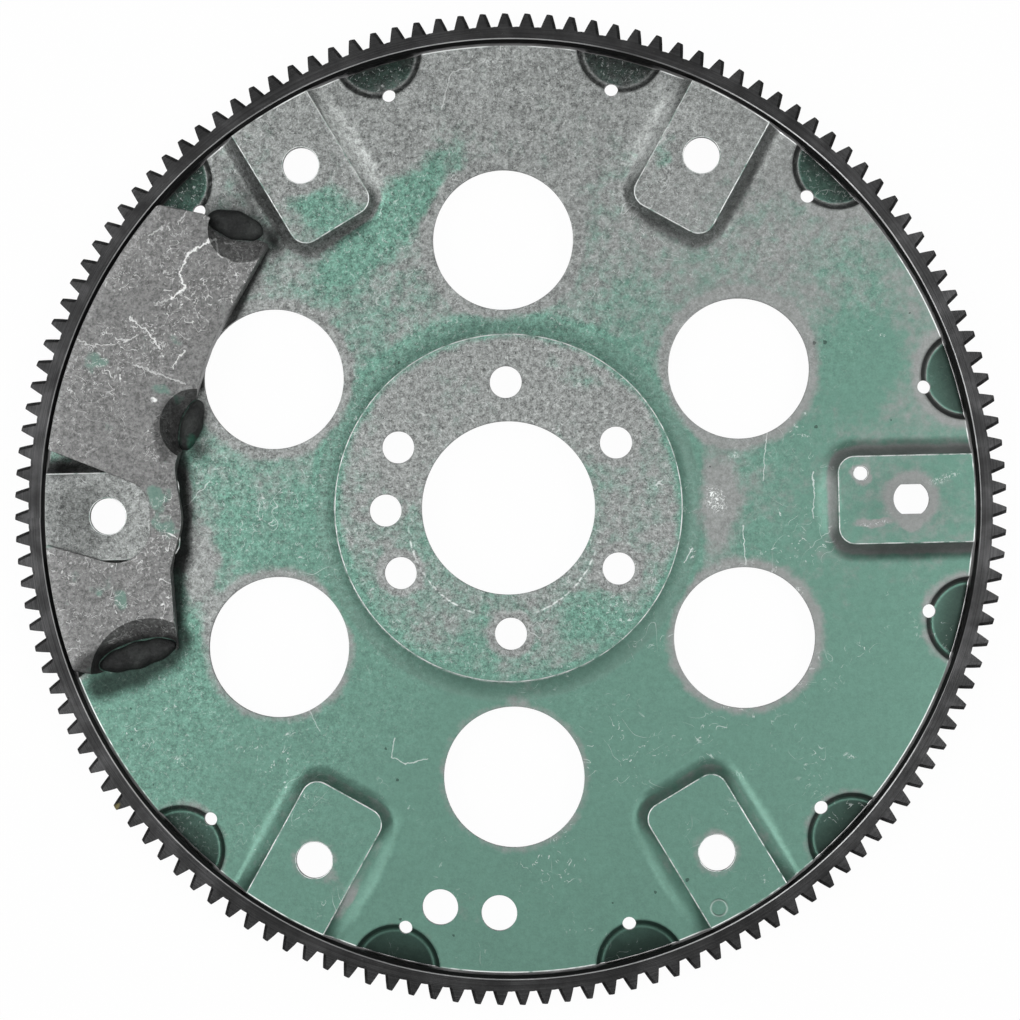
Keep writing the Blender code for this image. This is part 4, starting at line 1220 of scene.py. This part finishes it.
def weight_plate(finishes, weight):
    """Grey plate of the weight, dented, scratched and sooty at its welds."""
    material, wires, shader = new_metal("bare_plate_steel", 0.7, 0.5)
    place = wires.place()
    _, y, _, reach = wires.split(place)
    grain = wires.use("steel_grain", Vector=place, Grain_Scale=1100.0, Speck_Share=0.04)
    shade = wires.span(grain["Blotch"], 0.3, 0.7, 0.84, 1.12)
    tone = wires.tint((*finishes.weight_grey, 1.0), shade)
    coarse = wires.noise(place, 480.0, 2.0, 0.6)
    dust = wires.calc("ADD", wires.span(grain["Speckle"], 0.3, 0.7, -0.5, 0.5),
                      wires.span(coarse, 0.3, 0.7, -0.4, 0.4))
    tone = wires.tint(tone, wires.calc("MULTIPLY_ADD", dust, 0.60, 0.96))
    oily = wires.span(wires.noise(place, 60.0, 3.0, 0.6), 0.60, 0.68, 0.0, 0.7)
    oily = wires.calc("MULTIPLY", oily, wires.span(y, 0.08, 0.05))
    tone = wires.blend(oily, tone, (*finishes.sheet_green, 1.0))
    tone = wires.tint(tone, wires.span(reach, weight.outer_radius - 0.004,
                                       weight.outer_radius - 0.001, 1.0, 1.25))
    # On the weight these patches are soot at its welds.
    soot_and_shade = wires.patches(wires.ragged(place, 110.0, 0.003), WEIGHT_SOOT, 0.35)
    tone = wires.tint(tone, wires.calc("SUBTRACT", 1.0, soot_and_shade))
    fine = wires.use("hairlines", Vector=place, Scale=330.0, Width=0.034, Break=0.46)["Line"]
    crackle = wires.use("hairlines", Vector=place, Scale=140.0, Width=0.012, Break=0.47)["Line"]
    zone = wires.span(wires.noise(place, 45.0, 3.0, 0.6), 0.40, 0.56)
    jagged = wires.ragged(place, 620.0, 0.0030)
    clean = wires.calc("SUBTRACT", 1.0, wires.calc("MULTIPLY", soot_and_shade, 1.2, clamp=True))
    marks = wires.calc("MULTIPLY", wires.calc("MULTIPLY", fine, zone), 0.45)
    marks = wires.higher(marks, wires.calc("MULTIPLY", crackle, zone), 0.85)
    marks = wires.strokes(jagged, WEIGHT_SCRATCHES, marks)
    tone = wires.blend(wires.calc("MULTIPLY", marks, clean), tone, (0.80, 0.81, 0.80, 1.0))
    wires.feed(shader.inputs["Base Color"], tone)
    wires.feed(shader.inputs["Roughness"], wires.span(grain["Blotch"], 0.3, 0.7, 0.42, 0.58))
    add_bump(wires, shader, grain["Height"], 0.0001)
    return material


def weld_metal(finishes):
    """Sooty, rippled weld metal with some green oil on it."""
    material, wires, shader = new_metal("weld_metal", 0.3, 0.6)
    place = wires.place()
    grain = wires.use("steel_grain", Vector=place, Grain_Scale=700.0, Speck_Share=0.08)
    tone = wires.blend(wires.span(grain["Blotch"], 0.4, 0.7), (*finishes.weld_dark, 1.0),
                       (0.045, 0.05, 0.047, 1.0))
    film = wires.patches(wires.ragged(place, 300.0, 0.004), WELD_OIL, 0.6)
    film = wires.calc("MULTIPLY", film, wires.span(grain["Speckle"], 0.35, 0.6, 0.5, 1.0))
    tone = wires.blend(film, tone, (0.02, 0.11, 0.07, 1.0))
    wires.feed(shader.inputs["Base Color"], tone)
    wires.feed(shader.inputs["Roughness"], wires.span(grain["Speckle"], 0.3, 0.7, 0.50, 0.80))
    lumps = wires.noise(place, 320.0, 4.0, 0.7)
    add_bump(wires, shader, wires.calc("MULTIPLY_ADD", grain["Height"], 0.3, lumps), 0.0009)
    return material


class FLEXPLATE_OT_pressed_disc(bpy.types.Operator):
    """Press, drill and finish the disc"""
    bl_idname = "flexplate.pressed_disc"
    bl_label = "Pressed disc"

    def execute(self, context):
        plate = context.scene.flexplate_plate
        disc = pressed_block(plate, 0.0, "pressed_disc")
        rear = pressed_block(plate, plate.thickness, "rear_block")
        trim = bar("rim_trim", plate.radius, CUT_BELOW + 0.002, CUT_ABOVE, 360)
        machine(disc, trim, "INTERSECT")
        machine(disc, rear, "DIFFERENCE")
        machine(disc, drills(plate), "DIFFERENCE")
        settle(disc)
        smooth(disc)
        pad_top = WEB_FRONT + plate.pad_rise
        hub_top = WEB_FRONT + plate.hub_rise

        # Faces of the rounded top edges of the pads and hub: rubbed metal and a painted highlight.
        def rubbed(centre, normal):
            near_pad = pad_top - 0.0002 < centre.z < pad_top - 0.000001
            near_hub = (hub_top - 0.00012 < centre.z < hub_top - 0.000001
                        and abs(math.hypot(centre.x, centre.y) - plate.hub_radius) < 0.0006)
            return (near_pad or near_hub) and 0.6 < normal.z < 0.9999

        finishes = context.scene.flexplate_finishes
        dress(disc, "flexplate_disc",
              [oiled_sheet(finishes, plate, "sheet_front", True), burnished_and_highlit_edge(finishes),
               sheared_wall(), oiled_sheet(finishes, plate, "sheet_rear", False)],
              ((1, rubbed), (2, lambda centre, normal: abs(normal.z) < 0.2),
               (3, lambda centre, normal: normal.z < 0.0)))
        return {"FINISHED"}


def tooth_half_width(gear, radius):
    """Half the width of an involute tooth at a radius."""
    def involute(angle):
        return math.tan(angle) - angle
    pitch_radius = gear.teeth * gear.module / 2.0
    pressure = math.radians(PRESSURE_ANGLE)
    base_radius = pitch_radius * math.cos(pressure)
    here = math.acos(min(1.0, base_radius / radius))
    half_angle = math.pi / (2.0 * gear.teeth) + involute(pressure) - involute(here)
    return radius * math.sin(half_angle)


class FLEXPLATE_OT_ring_gear(bpy.types.Operator):
    """Cut one tooth of the ring gear and spin it round"""
    bl_idname = "flexplate.ring_gear"
    bl_label = "Ring gear"

    def execute(self, context):
        gear = context.scene.flexplate_gear
        pitch_radius = gear.teeth * gear.module / 2.0
        root = pitch_radius - DEDENDUM * gear.module
        tip = pitch_radius + gear.module
        inner = root - gear.backing
        half_pitch = math.tan(math.pi / gear.teeth)
        everything_off()
        bpy.ops.mesh.primitive_cube_add(size=1.0, location=((inner + root) / 2.0, 0.0,
                                                            gear.width / 2.0))
        ring = named("toothed_ring")
        bpy.ops.object.mode_set(mode="EDIT")
        scale_by((root - inner, 2.0 * inner * half_pitch, gear.width), ring.location)
        bpy.ops.object.mode_set(mode="OBJECT")
        bpy.ops.object.transform_apply(location=True, rotation=True, scale=True)
        pick(ring, "FACE", facing((1.0, 0.0, 0.0)))
        scale_by((1.0, root / inner, 1.0), (root, 0.0, 0.0))
        foot = tooth_half_width(gear, root)
        for side in (foot, -foot):
            bpy.ops.mesh.select_all(action="SELECT")
            bpy.ops.mesh.bisect(plane_co=(0.0, side, 0.0), plane_no=(0.0, 1.0, 0.0))
        pick(ring, "FACE", lambda face: face.normal.x > 0.99
             and abs(face.calc_center_median().y) < foot * 0.5)
        width = foot
        reach = root
        for share in (0.2, 0.4, 0.6, 0.8, 1.0):
            radius = root + (tip - root) * share
            grow_along((radius - reach, 0.0, 0.0))
            new_width = tooth_half_width(gear, radius)
            scale_by((1.0, new_width / width, 1.0), (radius, 0.0, 0.0))
            width, reach = new_width, radius

        def lead_edge(edge):
            a, b = (vertex.co for vertex in edge.verts)
            on_front = min(a.z, b.z) > gear.width - 0.00001
            on_flank = max(a.y, b.y) < -0.0005 and min(a.x, b.x) > root - 0.00001
            return on_front and on_flank and abs(a.x - b.x) > 0.0004

        pick(ring, "EDGE", lead_edge)
        bpy.ops.mesh.bevel(offset=LEAD_CHAMFER, segments=1)
        pick(ring, "EDGE", lambda edge: all(abs(v.co.x - inner) < 0.00001
                                            and abs(v.co.z - gear.width) < 0.00001
                                            for v in edge.verts))
        bpy.ops.mesh.bevel(offset=BORE_CHAMFER, segments=1)
        pick(ring, "FACE", lambda face: abs(face.normal.y) > 0.99
             and abs(face.calc_center_median().y) > foot * 1.1
             and face.calc_center_median().x < root)
        bpy.ops.mesh.delete(type="FACE")
        bpy.ops.mesh.select_all(action="SELECT")
        bpy.ops.mesh.spin(steps=gear.teeth - 1, dupli=True, use_normal_flip=False,
                          angle=2.0 * math.pi * (gear.teeth - 1) / gear.teeth,
                          center=(0.0, 0.0, 0.0), axis=(0.0, 0.0, 1.0))
        bpy.ops.object.mode_set(mode="OBJECT")
        ring.data.transform(Matrix.Rotation(math.radians(FIRST_TOOTH), 4, "Z"))
        settle(ring)
        broken = ring.modifiers.new("broken_edges", "BEVEL")
        broken.width = BROKEN_EDGE
        broken.segments = 2
        broken.limit_method = "ANGLE"
        broken.angle_limit = math.radians(32.0)
        broken.use_clamp_overlap = True
        bpy.ops.object.modifier_apply(modifier=broken.name)
        smooth(ring)

        def lead_face(centre, normal):
            return (centre.z > gear.width - 0.0013 and 0.45 < normal.z < 0.97
                    and math.hypot(centre.x, centre.y) > root + 0.0001)

        finishes = context.scene.flexplate_finishes
        # The lead chamfers get a copy of the scale at 0.35 of its colour: painted shade.
        dress(ring, "ring_gear",
              [hardened_scale(finishes, "dark_hardened_steel", inner, 1.0),
               hardened_scale(finishes, "lead_chamfer", inner, 0.35)],
              ((1, lead_face),))
        return {"FINISHED"}


def weight_outline(plate, weight):
    """Outline of the weight, which goes in round the bolt of the pad under it."""
    corners = [(*polar(weight.outer_radius, WEIGHT_START_ANGLE), WEIGHT_OUTER_CORNER)]
    for inset, degrees, radius in WEIGHT_CORNERS:
        corners.append((*polar(plate.radius - inset, degrees), radius))
    corners.append((*polar(weight.outer_radius, WEIGHT_END_ANGLE), WEIGHT_OUTER_CORNER))
    inner = plate.radius - NOTCH_DEPTH
    (aside_a, radius_a), (aside_b, radius_b) = NOTCH_SIDES
    lip = weight.outer_radius

    def over_pad(x, y, radius):
        return (-x, -y, radius)

    mouth_low = math.degrees(math.asin(NOTCH_MOUTH[1] / lip))
    mouth_high = math.degrees(math.asin(-NOTCH_MOUTH[0] / lip))
    degrees = WEIGHT_END_ANGLE - WEIGHT_ARC_STEP
    while degrees > 180.0 + mouth_low + WEIGHT_ARC_STEP / 2.0:
        corners.append((*polar(lip, degrees), 0.0))
        degrees -= WEIGHT_ARC_STEP
    corners.append((*polar(lip, 180.0 + mouth_low), 0.0008))
    corners.append(over_pad(inner, aside_b, radius_b))
    corners.append(over_pad(inner, aside_a, radius_a))
    corners.append((*polar(lip, 180.0 - mouth_high), 0.0008))
    degrees = 180.0 - mouth_high - WEIGHT_ARC_STEP
    while degrees > WEIGHT_START_ANGLE + WEIGHT_ARC_STEP / 2.0:
        corners.append((*polar(lip, degrees), 0.0))
        degrees -= WEIGHT_ARC_STEP
    return rounded(corners)


def flat_plate(name, outline, low, high, ease):
    """A flat curve with thickness and eased edges, made a mesh."""
    curve = bpy.data.curves.new(name, "CURVE")
    curve.dimensions = "2D"
    curve.fill_mode = "BOTH"
    curve.extrude = (high - low) / 2.0 - ease
    curve.bevel_depth = ease
    curve.bevel_resolution = 1
    curve.offset = -ease
    spline = curve.splines.new("POLY")
    spline.points.add(len(outline) - 1)
    for point, (x, y) in zip(spline.points, outline):
        point.co = (x, y, 0.0, 1.0)
    spline.use_cyclic_u = True
    drawn = bpy.data.objects.new(name, curve)
    bpy.context.scene.collection.objects.link(drawn)
    drawn.location.z = (low + high) / 2.0
    take(drawn)
    bpy.ops.object.convert(target="MESH")
    return settle(named(name))


class FLEXPLATE_OT_balance_weight(bpy.types.Operator):
    """Cut the balance weight and its scallops"""
    bl_idname = "flexplate.balance_weight"
    bl_label = "Balance weight"

    def execute(self, context):
        plate = context.scene.flexplate_plate
        weight = context.scene.flexplate_weight
        piece = flat_plate("weight_plate", weight_outline(plate, weight), weight.rear,
                           weight.front, 0.0004)
        for _, inset, degrees, heading, length, width, top_inset, top_degrees, radius in WEIGHT_WELDS:
            x, y = polar(plate.radius - inset, degrees)
            x_top, y_top = polar(plate.radius - top_inset, top_degrees)
            everything_off()
            bpy.ops.mesh.primitive_circle_add(vertices=48, radius=1.0, fill_type="NGON",
                                              location=(0.0, 0.0, 0.0))
            scallop = named("scallop")
            scallop.scale = (length + SEAT_GAP, width + SEAT_GAP, 1.0)
            bpy.ops.object.transform_apply(location=False, rotation=False, scale=True)
            scallop.data.transform(Matrix.Translation((x, y, weight.rear - 0.001))
                                   @ Matrix.Rotation(math.radians(heading), 4, "Z"))
            pick(scallop, "FACE", lambda face: True)
            grow_along((0.0, 0.0, 0.001 + SCALLOP_SILL))
            grow_along((x_top - x, y_top - y, weight.front + 0.001 - weight.rear - SCALLOP_SILL))
            shape = bmesh.from_edit_mesh(scallop.data)
            for vertex in shape.verts:
                if vertex.select:
                    away = vertex.co.xy - Vector((x_top, y_top))
                    turn = Matrix.Rotation(-math.radians(heading), 2)
                    local = turn @ away
                    local.x *= radius / (length + SEAT_GAP)
                    local.y *= radius / (width + SEAT_GAP)
                    vertex.co.xy = Vector((x_top, y_top)) + turn.inverted() @ local
            bmesh.update_edit_mesh(scallop.data)
            machine(piece, settle(scallop), "DIFFERENCE")
        pad = pad_form(plate, -SEAT_GAP)
        pad.data.transform(Matrix.Rotation(math.pi, 4, "Z"))
        machine(piece, pad, "DIFFERENCE")
        settle(piece)
        smooth(piece)
        dress(piece, "balance_weight",
              [weight_plate(context.scene.flexplate_finishes, weight)])
        return {"FINISHED"}


class FLEXPLATE_OT_weight_welds(bpy.types.Operator):
    """Lay the three weld beads of the weight"""
    bl_idname = "flexplate.weight_welds"
    bl_label = "Weight welds"

    def execute(self, context):
        plate = context.scene.flexplate_plate
        weight = context.scene.flexplate_weight
        metal = weld_metal(context.scene.flexplate_finishes)
        for name, inset, degrees, heading, length, width, *_ in WEIGHT_WELDS:
            x, y = polar(plate.radius - inset, degrees)
            everything_off()
            bpy.ops.mesh.primitive_uv_sphere_add(segments=64, ring_count=48, radius=1.0,
                                                 location=(0.0, 0.0, 0.0),
                                                 rotation=(0.0, math.radians(90.0), 0.0))
            bpy.ops.object.transform_apply(location=True, rotation=True, scale=True)
            bead = named(name + "_bead")
            bpy.ops.object.mode_set(mode="EDIT")
            bpy.ops.mesh.bisect(plane_co=(0.0, 0.0, 0.0), plane_no=(0.0, 0.0, -1.0),
                                use_fill=True, clear_outer=True)
            bpy.ops.object.mode_set(mode="OBJECT")
            for vertex in bead.data.vertices:
                along = vertex.co.x
                ripple = 0.5 + 0.5 * math.cos(along * length / 0.0011
                                              - 1.2 * abs(vertex.co.y))
                sink = 1.0 - 0.14 * ripple * max(0.0, vertex.co.z)
                vertex.co.z *= sink
                vertex.co.y *= 0.95 + 0.05 * math.cos(along * length / 0.0014)
            bead.scale = (length, width, WELD_BEAD_HEIGHT)
            bead.rotation_euler = (0.0, 0.0, math.radians(heading))
            bead.location = (x, y, weight.rear)
            settle(bead)
            smooth(bead, 50.0)
            dress(bead, name, [metal])
        for name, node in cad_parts.items():
            if name.startswith("ring_weld"):
                node.data.materials.clear()
                node.data.materials.append(metal)
        return {"FINISHED"}


class FLEXPLATE_OT_studio(bpy.types.Operator):
    """Set the floor, the light and the camera"""
    bl_idname = "flexplate.studio"
    bl_label = "Studio"

    def execute(self, context):
        studio = context.scene.flexplate_studio
        scene = context.scene
        everything_off()
        bpy.ops.mesh.primitive_plane_add(size=6.0, location=(0.0, 0.0, -0.0002))
        floor = named("floor")
        bpy.ops.object.transform_apply(location=True, rotation=True, scale=True)
        material = bpy.data.materials.new("pale_floor")
        material.use_nodes = True
        wires = Wiring(material.node_tree)
        shader = material.node_tree.nodes["Principled BSDF"]
        out = material.node_tree.nodes["Material Output"]
        shader.inputs["Base Color"].default_value = (0.9, 0.9, 0.9, 1.0)
        shader.inputs["Roughness"].default_value = 0.9
        shader.inputs["Specular IOR Level"].default_value = 0.0
        path = wires.add("ShaderNodeLightPath")
        seen = wires.calc("MAXIMUM", path.outputs["Is Camera Ray"], path.outputs["Is Glossy Ray"])
        seen = wires.calc("MAXIMUM", seen, path.outputs["Is Transmission Ray"])
        glow = wires.add("ShaderNodeEmission")
        glow.inputs["Color"].default_value = (*studio.floor, 1.0)
        mix = wires.add("ShaderNodeMixShader")
        wires.feed(mix.inputs[0], wires.calc("MULTIPLY", seen, 0.97))
        wires.feed(mix.inputs[1], shader.outputs[0])
        wires.feed(mix.inputs[2], glow.outputs[0])
        wires.feed(out.inputs["Surface"], mix.outputs[0])
        floor.data.materials.append(material)

        world = scene.world or bpy.data.worlds.new("studio")
        scene.world = world
        world.use_nodes = True
        air = Wiring(world.node_tree)
        back = world.node_tree.nodes["Background"]
        back.inputs["Color"].default_value = (1.0, 1.0, 1.0, 1.0)
        ray = air.add("ShaderNodeLightPath")
        strength = air.calc("MULTIPLY_ADD", ray.outputs["Is Camera Ray"],
                            1.0 - studio.surround, studio.surround)
        air.feed(back.inputs["Strength"], strength)

        lamps = (("overhead", (0.0, 0.0, 1.6), (3.0, 0.9), studio.overhead),
                 ("left_strip", (-0.46, 0.0, 0.60), (1.0, 0.16), studio.sides),
                 ("right_strip", (0.46, 0.0, 0.60), (1.0, 0.16), studio.sides),
                 ("far_side", (0.0, 1.6, 0.9), (1.6, 0.5), studio.sides))
        for name, place, size, power in lamps:
            everything_off()
            bpy.ops.object.light_add(type="AREA", location=place)
            lamp = bpy.context.active_object
            lamp.name = name
            lamp.data.shape = "RECTANGLE"
            lamp.data.size, lamp.data.size_y = size
            lamp.data.energy = power
            lamp.rotation_euler = (-Vector(place)).to_track_quat("-Z", "Y").to_euler()

        everything_off()
        bpy.ops.object.camera_add()
        camera = bpy.context.active_object
        camera.name = "view_camera"
        tilt = (Matrix.Rotation(VIEW_TURNS[0], 3, "X") @ Matrix.Rotation(VIEW_TURNS[1], 3, "Y")
                @ Matrix.Rotation(VIEW_TURNS[2], 3, "Z")).transposed()
        camera.matrix_world = Matrix.Translation(-(tilt @ Vector(VIEW_OFFSET))) @ tilt.to_4x4()
        camera.data.sensor_width = SENSOR_WIDTH
        camera.data.lens = VIEW_LENS
        camera.data.clip_start = 0.05
        scene.camera = camera
        scene.view_settings.view_transform = "Standard"
        return {"FINISHED"}


class FLEXPLATE_PT_panel(bpy.types.Panel):
    """Sizes, colours and steps of the flexplate"""
    bl_label = "Flexplate"
    bl_idname = "FLEXPLATE_PT_panel"
    bl_space_type = "VIEW_3D"
    bl_region_type = "UI"
    bl_category = "Flexplate"

    def draw(self, context):
        for group in SETTINGS:
            box = self.layout.box()
            settings = getattr(context.scene, group)
            for key in settings.bl_rna.properties.keys():
                if key not in ("rna_type", "name"):
                    box.prop(settings, key)
        for operator in OPERATORS:
            self.layout.operator(operator.bl_idname)


SETTINGS = {
    "flexplate_plate": PlateSizes,
    "flexplate_gear": GearSizes,
    "flexplate_weight": WeightSizes,
    "flexplate_finishes": Finishes,
    "flexplate_studio": StudioSettings,
}
OPERATORS = (
    FLEXPLATE_OT_pressed_disc,
    FLEXPLATE_OT_ring_gear,
    FLEXPLATE_OT_balance_weight,
    FLEXPLATE_OT_weight_welds,
    FLEXPLATE_OT_studio,
)


def register():
    for settings in SETTINGS.values():
        bpy.utils.register_class(settings)
    for name, settings in SETTINGS.items():
        setattr(bpy.types.Scene, name, PointerProperty(type=settings))
    for operator in OPERATORS:
        bpy.utils.register_class(operator)
    bpy.utils.register_class(FLEXPLATE_PT_panel)


def unregister():
    bpy.utils.unregister_class(FLEXPLATE_PT_panel)
    for operator in reversed(OPERATORS):
        bpy.utils.unregister_class(operator)
    for name in SETTINGS:
        delattr(bpy.types.Scene, name)
    for settings in SETTINGS.values():
        bpy.utils.unregister_class(settings)


def main():
    register()
    for make_group in (steel_grain_group, hairline_group, hole_row_group, soft_patch_group,
                       level_patch_group, scratch_group, arc_line_group):
        make_group()
    bpy.ops.flexplate.pressed_disc()
    bpy.ops.flexplate.ring_gear()
    bpy.ops.flexplate.balance_weight()
    bpy.ops.flexplate.weight_welds()
    bpy.ops.flexplate.studio()


if __name__ == "__main__":
    main()
